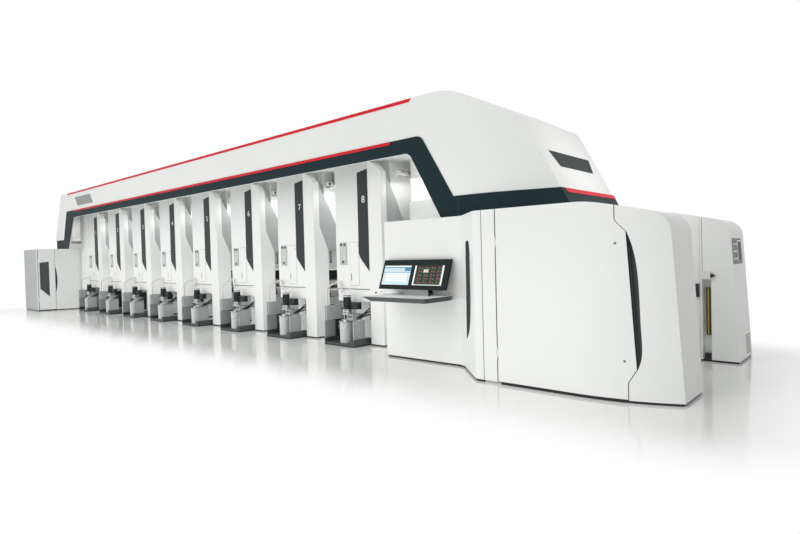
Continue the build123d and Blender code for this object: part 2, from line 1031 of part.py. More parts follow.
def infeed_column():
    """Tall rounded column where the web enters the first unit."""
    plan = [(unwind_back_x, 0), (row_left, 0), (row_left, unit_depth), (unwind_back_x, unit_depth)]
    return standing(plan, underside_height, {0: infeed_round})


def outfeed_cabinet():
    """White cabinet behind the console, stepped back above."""
    right = header_right - outfeed_gap
    lower = block(outfeed_left, right, outfeed_front, unit_depth, 0, outfeed_step)
    upper = block(
        outfeed_left + outfeed_inset, right - outfeed_inset, outfeed_front + outfeed_inset, unit_depth,
        outfeed_step, underside_height
    )
    return lower + upper


def console_housing():
    """Cabinet that carries the console."""
    back = console_front + console_depth
    plan = [
        (console_left, console_front),
        (console_right, console_front),
        (console_right, back),
        (console_left, back),
    ]
    return standing(plan, housing_height)


def console_grip():
    """Recess for the hand in the swept corner beside the console."""
    start = Vector(sweep_start, console_front, 0)
    sweep_line = (Vector(sweep_end, winder_front, 0) - start).normalized()
    frame = Plane(origin=start, x_dir=sweep_line, z_dir=(0, 0, 1))
    outline = [(along, 0, height) for along, height in console_grip_points]
    face = make_face(Wire([Line(outline[-1], outline[0]), Spline(*outline)]))
    return frame * Pos(0, -1, 0) * extrude(face, amount=grip_depth + 1, dir=(0, 1, 0))


def corner_panel():
    """Swept corner between the console cabinet and the rewinder, with a grip recess."""
    back = console_front + console_depth
    plan = [
        (console_right, console_front),
        (sweep_start, console_front),
        (sweep_end, winder_front),
        (winder_left, winder_front),
        (winder_left, back),
        (console_right, back),
    ]
    panel = standing(plan, housing_height, {1: sweep_round, 2: sweep_round / 2})
    return panel - console_grip()


def console_desk():
    """Desk plate of the console, undercut at both ends, on the face of the cabinet."""
    right = desk_left + desk_width
    lower_right = right - desk_wall_inset
    top = [
        (desk_left, desk_front),
        (right - plinth_inset, desk_front),
        (right, desk_back),
        (lower_right, console_front),
        (desk_left + desk_wall_inset, console_front),
        (desk_left, desk_back),
    ]
    bottom = [
        (desk_left + desk_left_undercut, desk_front + plinth_inset),
        (right - plinth_inset, desk_front + plinth_inset),
        (right - plinth_inset, desk_back - desk_right_undercut),
        (lower_right, console_front),
        (desk_left + desk_left_undercut, console_front),
        (desk_left + desk_left_undercut - 1, desk_back - desk_right_undercut),
    ]
    upper = make_face(Polyline(*[(x, y, desk_top) for x, y in top], close=True)).face()
    lower = make_face(Polyline(*[(x, y, desk_top - desk_thickness) for x, y in bottom], close=True)).face()
    return loft([lower, upper], ruled=True)


def console_display():
    """Leaning display housing on an arm from the cabinet."""
    back = console_front - display_offset
    top = display_bottom + display_height
    side = [
        (back - display_lean - display_thickness, display_bottom),
        (back - display_lean, display_bottom),
        (back, top),
        (back - display_thickness, top),
    ]
    case = along_x(side, display_left, display_left + display_width)
    middle = display_left + display_width / 2
    arm_top = top - display_arm_drop
    arm_side = [
        (back - display_lean, display_bottom),
        (console_front, display_bottom),
        (console_front, arm_top),
        (back - display_lean * display_arm_drop / display_height, arm_top),
    ]
    half = display_arm_width / 2
    arm = along_x(arm_side, middle - half, middle + half)
    foot_front = console_front - display_foot_depth
    foot = block(middle - half, middle + half, foot_front, console_front, desk_top, display_bottom)
    return case + arm + foot


def winder_profile():
    """Side view of a rewinder housing: a slightly sloping top, a round shoulder and a raked end."""
    points = [
        (winder_left, 0),
        (winder_right, 0),
        (winder_right, plinth_height),
        (winder_shoulder_x, winder_shoulder_height),
        (winder_slope_start, housing_height),
        (winder_left, housing_height),
    ]
    return points, {3: winder_shoulder_round, 4: winder_slope_round}


def winder_plan():
    """Plan of the front rewinder housing with its bowed front."""
    run = winder_right - winder_bow_start
    rise = winder_corner_y - winder_front
    radius = (run**2 + rise**2) / (2 * rise)
    half = math.atan2(rise, run)
    end = (winder_right, winder_corner_y)
    middle = (
        winder_bow_start + radius * math.sin(half),
        winder_front + radius * (1 - math.cos(half)),
    )
    beyond = (winder_right + winder_past, winder_corner_y + winder_past * math.tan(2 * half))
    lines = [
        Line((winder_left, winder_front), (winder_bow_start, winder_front)),
        ThreePointArc((winder_bow_start, winder_front), middle, end),
        Line(end, beyond),
        Line(beyond, (winder_right + winder_past, winder_back)),
        Line((winder_right + winder_past, winder_back), (winder_left, winder_back)),
        Line((winder_left, winder_back), (winder_left, winder_front)),
    ]
    return make_face(Wire(lines)).face()


def winder_form(shift):
    """Outer form of the front rewinder housing, with its front moved back by shift."""
    points, rounds = winder_profile()
    profile = along_y(points, winder_front - 10, rear_front, rounds)
    plan = extrude(winder_plan(), amount=housing_height, dir=(0, 0, 1))
    return (Pos(0, shift, 0) * plan) & profile


def winder_door_prism(gap, hinge):
    """The space of the big rewinder door seen from the front, smaller by a gap at each edge."""
    left = winder_left + hinge_post_width + hinge
    outline = [
        (left, plinth_height + gap),
        (seam_foot_x - gap, plinth_height + gap),
        (seam_foot_x - gap, seam_foot),
        (seam_grip_foot_x - gap, seam_grip_foot),
        (seam_grip_top_x - gap, seam_grip_top),
        (seam_jog_x - gap, seam_jog),
        (seam_jog_x - gap, housing_height + 1),
        (left, housing_height + 1),
    ]
    return along_y(outline, winder_front - 10, winder_back, {2: seam_round, 5: seam_round})


def winder_grip():
    """Recess for the hand at the free edge of the rewinder door."""
    y = winder_front - 1
    top = (seam_grip_top_x, y, seam_grip_top)
    foot = (seam_grip_foot_x, y, seam_grip_foot)
    bow = Spline(top, *[(x, y, z) for x, z in winder_grip_points], foot)
    face = make_face(Wire([Line(foot, top), bow]))
    return extrude(face, amount=winder_grip_floor + 1, dir=(0, 1, 0))


def winder_hinge():
    """Axis of the rewinder door's hinges."""
    return winder_left + hinge_post_width + hinge_gap / 2, winder_front


def winder_housing():
    """Front rewinder housing, hollow behind its door, on a plinth that is set back."""
    body = winder_form(0)
    left = winder_left - 1
    right = winder_right + winder_past + 1
    front = winder_front - 1
    back = winder_back + 1
    body -= block(left, right, front, back, -1, plinth_height)
    plinth = extrude(offset(winder_plan(), amount=-plinth_inset), amount=plinth_height, dir=(0, 0, 1))
    past_end = block(winder_right - plinth_inset, right, front, back, -1, plinth_height + 1)
    body += plinth - past_end
    depth = door_thickness + door_back_gap
    recess = (winder_form(0) - winder_form(depth)) & winder_door_prism(0, 0)
    body -= recess
    body -= block(
        winder_left + hinge_post_width + winder_wall, seam_jog_x - winder_wall, winder_front,
        winder_back - winder_wall, plinth_height + winder_wall, housing_height - 2 * winder_wall
    )
    body -= winder_grip()
    x, y = winder_hinge()
    body -= hinge_space(x, y, False)
    body += hinge_lugs(x, y)
    body -= block(left, winder_left + seam_width, front, winder_front + seam_depth, 0, housing_height + 1)
    return body + block(winder_left, frame_right, winder_back, rear_front, 0, housing_height)


def winder_door():
    """Hinged door of the front rewinder housing, bowed with the front."""
    leaf = (winder_form(0) - winder_form(door_thickness)) & winder_door_prism(door_gap, hinge_gap)
    x, y = winder_hinge()
    leaf -= hinge_space(x, y, True)
    return leaf + hinge_knuckles(x, y)


def rear_housing():
    """Rear rewinder housing with an open niche at its inner corner."""
    points, rounds = winder_profile()
    body = along_y(points, rear_front, rear_back, rounds)
    right = winder_right + 1
    body -= block(winder_left, right, rear_front - 1, rear_front + plinth_inset, -1, plinth_height)
    body -= block(winder_right - plinth_inset, right, rear_front - 1, rear_back + 1, -1, plinth_height)
    niche_right = niche_left + niche_width
    niche_back = rear_front + niche_depth
    niche = block(niche_left, niche_right, rear_front - 1, niche_back, plinth_height, niche_height)
    return body - niche


def bay_fittings():
    """Guide in the niche of the rear housing, the switch box with its knob, and a lever."""
    middle = niche_left + niche_width / 2
    half = guide_width / 2
    guide = block(
        middle - half, middle + half, rear_front + niche_depth - guide_width, rear_front + niche_depth,
        guide_bottom, guide_top
    )
    shoe = block(
        niche_left + plinth_inset, niche_left + niche_width - plinth_inset, rear_front + plinth_height,
        rear_front + niche_depth, plinth_height, 4 * plinth_height
    )
    top = niche_height + switch_height
    box = block(
        niche_left, niche_left + niche_width, rear_front - switch_reach, rear_front,
        niche_height + plinth_inset, top
    )
    centre = (niche_left + niche_width, rear_front - switch_reach / 2, top - switch_height / 2)
    spindle = Plane(origin=centre, z_dir=(1, 0, 0))
    box += extrude(spindle * Circle(knob_radius / 2), amount=2 * knob_radius)
    box += extrude(spindle * Circle(knob_radius), amount=knob_radius)
    lever_left = niche_left - 2 * lever_width
    lever = block(
        lever_left, lever_left + lever_width, rear_front - lever_width, rear_front,
        lever_bottom, lever_bottom + lever_height
    )
    return [guide, shoe, box, lever]


def web_roller_places():
    """Centres (x, z) of the guide rollers in the gaps between the units."""
    places = []
    for number in range(1, unit_count + 1):
        x = unit_x(number) + column_width
        places.append((x + low_roller_offset, underside_height - low_roller_drop))
        if number < unit_count:
            places.append((x + high_roller_offset, underside_height - high_roller_drop))
    return places


def web_rollers():
    """Guide rollers that carry the web from unit to unit under the header."""
    near = column_depth
    far = unit_depth - side_frame_depth
    rollers = [roller(x, z, web_roller_radius, near, far) for x, z in web_roller_places()]
    near = hood_skin - header_overhang
    far = header_back - hood_skin
    x = unwind_back_x - infeed_roller_offset
    z = housing_height + infeed_roller_rise
    rollers.append(roller(x, z, infeed_roller_radius, near, far))
    return rollers


def roller_brackets():
    """Bracket plates that reach out from the columns and cabinets to the guide rollers."""
    plates = []
    half = bracket_height / 2
    for index, (x, z) in enumerate(web_roller_places()):
        carried_by_column = index % 2 == 0
        low = x - low_roller_offset if carried_by_column else x - half
        high = x + half if carried_by_column else x - high_roller_offset + aisle_width
        for edge in (column_depth - bracket_thickness, unit_depth - side_frame_depth):
            plates.append(block(low, high, edge, edge + bracket_thickness, z - half, z + half))
    return plates


def printed_web(x):
    """Web from the dryer wall of a unit, under the low roller and over the high one, to the next."""
    radius = web_roller_radius + web_clearance + web_thickness / 2
    right = x + column_width
    low = Vector(right + low_roller_offset, 0, underside_height - low_roller_drop)
    high = Vector(right + high_roller_offset, 0, underside_height - high_roller_drop)
    between = high - low
    tilt = math.atan2(between.Z, between.X) + math.asin(2 * radius / between.length)
    near = column_depth + web_margin
    width = unit_depth - side_frame_depth - column_depth - 2 * web_margin

    def on_low(angle):
        return (low.X + radius * math.sin(angle), near, low.Z - radius * math.cos(angle))

    def on_high(angle):
        return (high.X - radius * math.sin(angle), near, high.Z + radius * math.cos(angle))

    path = Wire([
        Line((x + dryer_width, near, low.Z - radius), on_low(0)),
        ThreePointArc(on_low(0), on_low(tilt / 2), on_low(tilt)),
        Line(on_low(tilt), on_high(tilt)),
        ThreePointArc(on_high(tilt), on_high(tilt / 2), on_high(0)),
        Line(on_high(0), (right + aisle_width, near, high.Z + radius)),
    ])
    start = Plane(origin=path @ 0, x_dir=(0, 1, 0), z_dir=path % 0)
    return sweep(start * Pos(width / 2, 0) * Rectangle(width, web_thickness), path=path)


def place(shape):
    """Moves a shape from the machine's datum to the origin of the part."""
    return Pos(-origin_x, -origin_y, 0) * shape


def save(name, shapes):
    """Writes one solid, or a group of solids, as one named piece."""
    if not isinstance(shapes, list):
        shapes = [shapes]
    solids = []
    for shape in shapes:
        solids.extend(place(shape).solids())
    shape = solids[0] if len(solids) == 1 else Compound(children=solids)
    export_step(shape, f"parts/{name}.step")


unit_places = [unit_x(number) for number in range(1, unit_count + 1)]
for number, x in enumerate(unit_places, start=1):
    save(f"unit_{number}_cabinet", unit_cabinet(x))

save("unit_columns", [piece for x in unit_places for piece in unit_column(x)])
save("column_fins", [column_fin(x) for x in unit_places])
save("front_covers", [sheet for x in unit_places for sheet in front_cover(x)])
save("number_stripes", [number_stripe(x) for x in unit_places])
save("button_plates", [button_plate(x) for x in unit_places])
save("guard_doors", [guard_door(x) for x in unit_places])
save("print_rollers", [piece for x in unit_places for piece in print_rollers(x)])
save("ink_pans", [ink_pan(x) for x in unit_places])
save("doctor_blades", [doctor_blade(x) for x in unit_places])
save("cart_frames", [cart_frame(x) for x in unit_places])
save("cart_handles", [cart_handle(x) for x in unit_places])
save("ink_buckets", [ink_bucket(x) for x in unit_places])
save("ink_pumps", [ink_pump(x) for x in unit_places])
save("ink_pipes", [ink_pipes(x) for x in unit_places])
save("web_rollers", web_rollers())
save("roller_brackets", roller_brackets())
save("printed_web", [printed_web(x) for x in unit_places[:-1]])
save("header_shell", header_shell())
save("left_hood", left_hood())
save("right_hood", right_hood(0))
save("header_band", header_band())
save("hood_band", hood_band())
save("header_stripes", header_stripes())
save("label_plates", label_plates())
save("unwind_housing", unwind_housing())
save("unwind_door", unwind_door())
save("unwind_window", unwind_window())
save("infeed_column", infeed_column())
save("outfeed_cabinet", outfeed_cabinet())
save("console_housing", console_housing())
save("corner_panel", corner_panel())
save("console_desk", console_desk())
save("console_display", console_display())
save("winder_housing", winder_housing())
save("winder_door", winder_door())
save("rear_housing", rear_housing())
save("bay_fittings", bay_fittings())
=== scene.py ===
import math

import bmesh
import bpy
from mathutils import Matrix, Vector


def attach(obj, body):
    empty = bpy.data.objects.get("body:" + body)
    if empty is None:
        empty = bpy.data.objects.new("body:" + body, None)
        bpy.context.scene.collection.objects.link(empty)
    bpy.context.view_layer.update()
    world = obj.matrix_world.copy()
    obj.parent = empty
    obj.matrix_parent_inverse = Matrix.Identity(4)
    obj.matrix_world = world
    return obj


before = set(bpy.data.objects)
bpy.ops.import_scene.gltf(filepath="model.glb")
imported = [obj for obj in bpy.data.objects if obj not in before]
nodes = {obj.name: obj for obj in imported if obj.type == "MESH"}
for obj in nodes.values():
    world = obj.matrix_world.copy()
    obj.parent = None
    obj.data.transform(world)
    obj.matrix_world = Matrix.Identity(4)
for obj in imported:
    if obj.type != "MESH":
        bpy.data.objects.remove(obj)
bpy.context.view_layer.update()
scene = bpy.context.scene
scene.view_settings.view_transform = "Standard"

# Camera. It stands on the operator side near the rewinder, at eye height, and looks back
# along the row of units. It leans a little to one side.
turn = math.radians(42.08)
dip = math.radians(-1.21)
lean = math.radians(-1.48)
stand = (13.611, -8.179, 1.741)
level = Vector((math.cos(turn), math.sin(turn), 0))
ahead = Vector((-math.sin(turn) * math.cos(dip), math.cos(turn) * math.cos(dip), math.sin(dip)))
upward = level.cross(ahead)
right = level * math.cos(lean) + upward * math.sin(lean)
top_side = upward * math.cos(lean) - level * math.sin(lean)
eye = Matrix((right, top_side, -ahead)).transposed().to_4x4()
eye.translation = stand
camera_data = bpy.data.cameras.new("camera")
camera_data.lens = 24.77
camera_data.sensor_width = 36
camera_data.sensor_fit = "HORIZONTAL"
camera_data.clip_end = 200
camera = bpy.data.objects.new("camera", camera_data)
camera.matrix_world = eye
scene.collection.objects.link(camera)
scene.camera = camera


# Studio light. A pale room, weaker towards the rewinder and the ceiling, lights everything
# softly. Two broad suns stand over the operator side. Lamps light the covers from low down, the
# rewinder, the end of the hood, the infeed column and each aisle.
def feed(tree, socket, value):
    """Sets a socket to a number, or links it to another socket."""
    if isinstance(value, (int, float)):
        socket.default_value = value
    else:
        tree.links.new(value, socket)


def math_node(tree, operation, *values, clamp=False):
    node = tree.nodes.new("ShaderNodeMath")
    node.operation = operation
    node.use_clamp = clamp
    for socket, value in zip(node.inputs, values):
        feed(tree, socket, value)
    return node.outputs[0]


def map_range(tree, value, start, end, first, last, smooth=False):
    """Carries a value from the range start to end over to the range first to last."""
    node = tree.nodes.new("ShaderNodeMapRange")
    if smooth:
        node.interpolation_type = "SMOOTHSTEP"
    limits = {"From Min": start, "From Max": end, "To Min": first, "To Max": last}
    for label, limit in limits.items():
        feed(tree, node.inputs[label], limit)
    tree.links.new(value, node.inputs["Value"])
    return node.outputs[0]


room_left, room_right = 0.82, 0.28
room_low, room_high = 1.0, 0.58
sky_across = (0.1, 0.9)
sky_up = (0.1, 1.0)
world = bpy.data.worlds.new("white_room")
scene.world = world
world.use_nodes = True
tree = world.node_tree
tree.nodes.clear()
sky = tree.nodes.new("ShaderNodeTexCoord")
sky_parts = tree.nodes.new("ShaderNodeSeparateXYZ")
tree.links.new(sky.outputs["Generated"], sky_parts.inputs[0])
walls = map_range(tree, sky_parts.outputs["X"], *sky_across, room_left, room_right)
ceiling = map_range(tree, sky_parts.outputs["Z"], *sky_up, room_low, room_high)
room = tree.nodes.new("ShaderNodeBackground")
room.inputs["Color"].default_value = (0.985, 1.0, 0.985, 1)
tree.links.new(math_node(tree, "MULTIPLY", walls, ceiling), room.inputs["Strength"])
seen = tree.nodes.new("ShaderNodeBackground")
seen.inputs["Color"].default_value = (1, 1, 1, 1)
seen.inputs["Strength"].default_value = 1.0
path = tree.nodes.new("ShaderNodeLightPath")
ray = math_node(tree, "MAXIMUM", path.outputs["Is Camera Ray"], path.outputs["Is Transmission Ray"])
ray = math_node(tree, "MAXIMUM", ray, path.outputs["Is Glossy Ray"])
blend = tree.nodes.new("ShaderNodeMixShader")
tree.links.new(ray, blend.inputs[0])
tree.links.new(room.outputs[0], blend.inputs[1])
tree.links.new(seen.outputs[0], blend.inputs[2])
output = tree.nodes.new("ShaderNodeOutputWorld")
tree.links.new(blend.outputs[0], output.inputs["Surface"])


def add_lamp(name, kind, strength, towards, spot=(0, 0, 0), angle=0, size=(1, 1)):
    data = bpy.data.lights.new(name, kind)
    data.energy = strength
    data.color = (1.0, 0.995, 0.975)
    if kind == "SUN":
        data.angle = math.radians(angle)
    else:
        data.shape = "RECTANGLE"
        data.size, data.size_y = size
    lamp = bpy.data.objects.new(name, data)
    lamp.location = spot
    lamp.rotation_euler = Vector(towards).to_track_quat("-Z", "Y").to_euler()
    lamp.visible_glossy = kind == "SUN"
    lamp.visible_camera = False
    scene.collection.objects.link(lamp)


add_lamp("front_light", "SUN", 0.68, towards=(0.2, 0.8, -0.68), angle=45)
add_lamp("side_light", "SUN", 0.3, towards=(-0.45, 0.2, -0.9), angle=50)
add_lamp("end_light", "AREA", 20, towards=(-1, 0, -0.05), spot=(11.6, 0.3, 3.6), size=(0.6, 1.2))
add_lamp("rewinder_light", "AREA", 14, towards=(0, 1, 0), spot=(10.6, -5.0, 1.2), size=(2.0, 1.6))
add_lamp("low_light", "AREA", 115, towards=(0, 1, 0.05), spot=(-0.5, -4.6, 0.5), size=(18, 0.6))
add_lamp("infeed_light", "AREA", 3, towards=(-1, 0.2, 0.05), spot=(-10.45, -0.45, 2.85), size=(0.3, 0.5))

unit_pitch = 2.0
unit_count = 8
last_seam = 6.010
first_seam = last_seam - (unit_count - 1) * unit_pitch
front_plane = -0.643
aisle_middle = 0.7
for number in range(unit_count):
    aisle_x = first_seam + number * unit_pitch + aisle_middle
    lamps = (
        ("aisle_light", 7, (0, 0, -1), (aisle_x, front_plane + 0.8, 3.22), (0.5, 1.0)),
        ("strip_light", 1.8, (-1, 0, -0.1), (aisle_x + 0.28, front_plane + 0.12, 1.0), (0.4, 1.2)),
        ("web_light", 1.8, (0, 0, 1), (aisle_x + 0.1, front_plane + 0.45, 2.8), (0.5, 0.9)),
    )
    for name, strength, towards, spot, size in lamps:
        add_lamp(f"{name}_{number + 1}", "AREA", strength, towards, spot, size=size)

# Floor. Pale polished concrete that mirrors the machine softly. It fades to white a little way
# out from the machine, so that no edge or horizon shows.
floor_half = 90
corners = [(x * floor_half, y * floor_half, 0) for x, y in ((-1, -1), (1, -1), (1, 1), (-1, 1))]
data = bpy.data.meshes.new("floor")
data.from_pydata(corners, [], [(0, 1, 2, 3)])
floor = bpy.data.objects.new("floor", data)
scene.collection.objects.link(floor)


def position(tree):
    """Sockets with the place of a point on the machine, in metres."""
    here = tree.nodes.new("ShaderNodeTexCoord")
    split = tree.nodes.new("ShaderNodeSeparateXYZ")
    tree.links.new(here.outputs["Object"], split.inputs[0])
    return split.outputs["X"], split.outputs["Y"], split.outputs["Z"]


def noise(tree, scale, detail):
    """Noise over the machine, at a scale that is a number or a socket."""
    here = tree.nodes.new("ShaderNodeTexCoord")
    cloud = tree.nodes.new("ShaderNodeTexNoise")
    tree.links.new(here.outputs["Object"], cloud.inputs["Vector"])
    feed(tree, cloud.inputs["Scale"], scale)
    feed(tree, cloud.inputs["Detail"], detail)
    return cloud.outputs["Fac"]


machine_half = (11.9, 2.06)
fade_start = 0.15
fade_end = 1.8
rough_low, rough_high = 0.05, 0.13
concrete = bpy.data.materials.new("pale_floor")
concrete.use_nodes = True
tree = concrete.node_tree
shader = tree.nodes["Principled BSDF"]
shader.inputs["Base Color"].default_value = (0.9, 0.905, 0.895, 1)
shader.inputs["Specular IOR Level"].default_value = 0.9
polish = map_range(tree, noise(tree, 0.35, 4), 0.0, 1.0, rough_low, rough_high)
tree.links.new(polish, shader.inputs["Roughness"])
x, y, z = position(tree)
beyond = []
for along, reach in ((x, machine_half[0]), (y, machine_half[1])):
    over = math_node(tree, "SUBTRACT", math_node(tree, "ABSOLUTE", along), reach)
    over = math_node(tree, "MAXIMUM", over, 0.0)
    beyond.append(math_node(tree, "MULTIPLY", over, over))
far = math_node(tree, "SQRT", math_node(tree, "ADD", *beyond))
fade = map_range(tree, far, fade_start, fade_end, 0.0, 1.0, smooth=True)
path = tree.nodes.new("ShaderNodeLightPath")
share = math_node(tree, "MULTIPLY", fade, path.outputs["Is Camera Ray"])
white = tree.nodes.new("ShaderNodeEmission")
white.inputs["Color"].default_value = (1, 1, 1, 1)
white.inputs["Strength"].default_value = 1.0
mix = tree.nodes.new("ShaderNodeMixShader")
tree.links.new(share, mix.inputs[0])
tree.links.new(shader.outputs[0], mix.inputs[1])
tree.links.new(white.outputs[0], mix.inputs[2])
tree.links.new(mix.outputs[0], tree.nodes["Material Output"].inputs["Surface"])
floor.data.materials.append(concrete)


# Shared finish effects. Paint has an orange-peel grain and a slight drift of tone, and a
# rolled sheet edge gets a painted highlight: its colour is lightened where the bevel bends the normal.
def new_group(name, inputs, outputs):
    """A shader group of plain values, with the nodes where they enter and leave it."""
    group = bpy.data.node_groups.new(name, "ShaderNodeTree")
    for label, value in inputs.items():
        socket = group.interface.new_socket(label, in_out="INPUT", socket_type="NodeSocketFloat")
        socket.default_value = value
    for label in outputs:
        group.interface.new_socket(label, in_out="OUTPUT", socket_type="NodeSocketFloat")
    return group, group.nodes.new("NodeGroupInput"), group.nodes.new("NodeGroupOutput")


grain_inputs = {
    "Grain Size": 260.0,
    "Tone Size": 0.8,
    "Tone Range": 0.05,
    "Gloss Low": 0.3,
    "Gloss High": 0.42,
}
grain, entry, leave = new_group("sheet_grain", grain_inputs, ["Tone", "Gloss", "Height"])
grain.links.new(noise(grain, entry.outputs["Grain Size"], 2), leave.inputs["Height"])
drift = noise(grain, entry.outputs["Tone Size"], 3)
centred = math_node(grain, "SUBTRACT", drift, 0.5)
scaled = math_node(grain, "MULTIPLY", centred, entry.outputs["Tone Range"])
grain.links.new(math_node(grain, "ADD", scaled, 1.0), leave.inputs["Tone"])
gloss = map_range(grain, drift, 0.0, 1.0, entry.outputs["Gloss Low"], entry.outputs["Gloss High"])
grain.links.new(gloss, leave.inputs["Gloss"])

edge, entry, leave = new_group("edge_highlight_mask", {"Radius": 0.006}, ["Edge"])
softened = edge.nodes.new("ShaderNodeBevel")
softened.samples = 4
edge.links.new(entry.outputs["Radius"], softened.inputs["Radius"])
sharp = edge.nodes.new("ShaderNodeNewGeometry")
match = edge.nodes.new("ShaderNodeVectorMath")
match.operation = "DOT_PRODUCT"
edge.links.new(softened.outputs["Normal"], match.inputs[0])
edge.links.new(sharp.outputs["Normal"], match.inputs[1])
edge.links.new(math_node(edge, "SUBTRACT", 1.0, match.outputs["Value"], clamp=True), leave.inputs["Edge"])

# Painted highlight: this grey is screened over the colour along sheet edges.
rim_highlight = (0.25, 0.25, 0.25)
relief_strength = 0.02
relief_depth = 0.002


def sheet_material(name, colour, low, high, tone_range=0.05, tone_size=0.8, metal=0.0, specular=0.5):
    """A material with grain, tone and a painted edge highlight. Its plain colour sits in the node called
    paint.
    """
    material = bpy.data.materials.new(name)
    material.use_nodes = True
    tree = material.node_tree
    shader = tree.nodes["Principled BSDF"]
    shader.inputs["Metallic"].default_value = metal
    shader.inputs["Specular IOR Level"].default_value = specular
    surface = tree.nodes.new("ShaderNodeGroup")
    surface.node_tree = grain
    surface.inputs["Tone Size"].default_value = tone_size
    surface.inputs["Tone Range"].default_value = tone_range
    surface.inputs["Gloss Low"].default_value = low
    surface.inputs["Gloss High"].default_value = high
    rim = tree.nodes.new("ShaderNodeGroup")
    rim.node_tree = edge
    paint = tree.nodes.new("ShaderNodeMix")
    paint.name = "paint"
    paint.data_type = "RGBA"
    paint.inputs["Factor"].default_value = 0
    paint.inputs["A"].default_value = (*colour, 1)
    paint.inputs["B"].default_value = (*colour, 1)
    tone = tree.nodes.new("ShaderNodeVectorMath")
    tone.name = "tone"
    tone.operation = "SCALE"
    tree.links.new(paint.outputs["Result"], tone.inputs[0])
    tree.links.new(surface.outputs["Tone"], tone.inputs["Scale"])
    # Painted highlight: the edge mask lightens the base colour.
    lit = tree.nodes.new("ShaderNodeMix")
    lit.data_type = "RGBA"
    lit.blend_type = "SCREEN"
    lit.inputs["B"].default_value = (*rim_highlight, 1)
    tree.links.new(rim.outputs["Edge"], lit.inputs["Factor"])
    tree.links.new(tone.outputs[0], lit.inputs["A"])
    tree.links.new(lit.outputs["Result"], shader.inputs["Base Color"])
    tree.links.new(surface.outputs["Gloss"], shader.inputs["Roughness"])
    relief = tree.nodes.new("ShaderNodeBump")
    relief.inputs["Strength"].default_value = relief_strength
    relief.inputs["Distance"].default_value = relief_depth
    tree.links.new(surface.outputs["Height"], relief.inputs["Height"])
    tree.links.new(relief.outputs["Normal"], shader.inputs["Normal"])
    return material


def repaint(material, mask, colour):
    """Lays a second colour over the first where the mask is 1."""
    tree = material.node_tree
    tone = tree.nodes["tone"]
    below = tone.inputs[0].links[0].from_socket
    layer = tree.nodes.new("ShaderNodeMix")
    layer.data_type = "RGBA"
    layer.inputs["B"].default_value = (*colour, 1)
    tree.links.new(mask, layer.inputs["Factor"])
    tree.links.new(below, layer.inputs["A"])
    tree.links.new(layer.outputs["Result"], tone.inputs[0])


def layers_of(material):
    """The node tree of a material, and sockets with the place of a point on the machine."""
    return material.node_tree, *position(material.node_tree)


def finish_nodes(material, *names):
    """Puts a material on CAD nodes."""
    for name in names:
        data = nodes[name].data
        data.materials.clear()
        data.materials.append(material)


def above(tree, value, low):
    return math_node(tree, "GREATER_THAN", value, low)


def under(tree, value, high):
    return math_node(tree, "LESS_THAN", value, high)


def within(tree, value, low, high):
    """1 where a value lies between two limits."""
    return math_node(tree, "MULTIPLY", above(tree, value, low), under(tree, value, high))


def both(tree, first, *others):
    """1 where all the masks are 1."""
    for other in others:
        first = math_node(tree, "MULTIPLY", first, other)
    return first


def ramp(tree, value, start, end):
    """0 at the start and 1 at the end, with a soft run between."""
    return map_range(tree, value, start, end, 0.0, 1.0, smooth=True)


def facing(tree, axis):
    """How far a surface faces along an axis."""
    surface = tree.nodes.new("ShaderNodeNewGeometry")
    tilt = tree.nodes.new("ShaderNodeSeparateXYZ")
    tree.links.new(surface.outputs["True Normal"], tilt.inputs[0])
    return tilt.outputs[axis]


def from_seam(tree, x):
    """How far a point lies to the right of the seam line of its own unit."""
    shifted = math_node(tree, "SUBTRACT", x, first_seam - unit_pitch / 2)
    wrapped = math_node(tree, "FLOORED_MODULO", shifted, unit_pitch)
    return math_node(tree, "SUBTRACT", wrapped, unit_pitch / 2)


# White sheet housings. Steel sheet sprayed in a warm white, semi-gloss. Below the plinth line it is painted
# black, partly the dark plinth and partly painted shadow in the gap where the plinth is set back from the
# sheet.
white_colour = (0.85, 0.86, 0.85)
plinth_shadow_black = (0.012, 0.014, 0.015)
plinth_shadow_top = 0.0302
gap_shade_dark = (0.036, 0.046, 0.048)
faces_up = 0.1


def housing_paint(name, inside=None):
    """White paint, black below the plinth line as plinth and painted shadow, and painted shade where
    inside(tree, x, y, z) is 1.
    """
    material = sheet_material(name, white_colour, 0.3, 0.42, specular=0.4)
    tree, x, y, z = layers_of(material)
    if inside:
        # Painted shade: faces behind the front that don't face up are painted dark, for door gaps and grip
        # recesses.
        mask = both(tree, inside(tree, x, y, z), under(tree, facing(tree, "Z"), faces_up))
        repaint(material, mask, gap_shade_dark)
    # Painted shadow: the colour is black below the plinth line.
    repaint(material, under(tree, z, plinth_shadow_top), plinth_shadow_black)
    return material


white_paint = housing_paint("white_paint")

# Printing units. White cabinets and columns with a fin behind each column, painted grey as painted shade,
# and a bonded front cover painted grey at the top fading to white below, a painted shade under the overhang
# of the header.
header_shade_grey = (0.52, 0.535, 0.53)
cover_fade_low, cover_fade_high = 2.2, 3.5
cover_fade_share = 0.55
fin_shade_colour = (0.41, 0.435, 0.435)
finish_nodes(white_paint, *[f"unit_{number}_cabinet" for number in range(1, unit_count + 1)])
finish_nodes(white_paint, "unit_columns", "roller_brackets")
cover_paint = housing_paint("cover_paint")
tree, x, y, z = layers_of(cover_paint)
# Painted shade: the cover is greyer towards the top, under the header.
cover_shade = ramp(tree, z, cover_fade_low, cover_fade_high)
repaint(cover_paint, math_node(tree, "MULTIPLY", cover_shade, cover_fade_share), header_shade_grey)
finish_nodes(cover_paint, "front_covers")
# Painted shade: the fin's grey stands in for the shade beside the column.
finish_nodes(sheet_material("fin_grey", fin_shade_colour, 0.35, 0.5, tone_range=0.12), "column_fins")

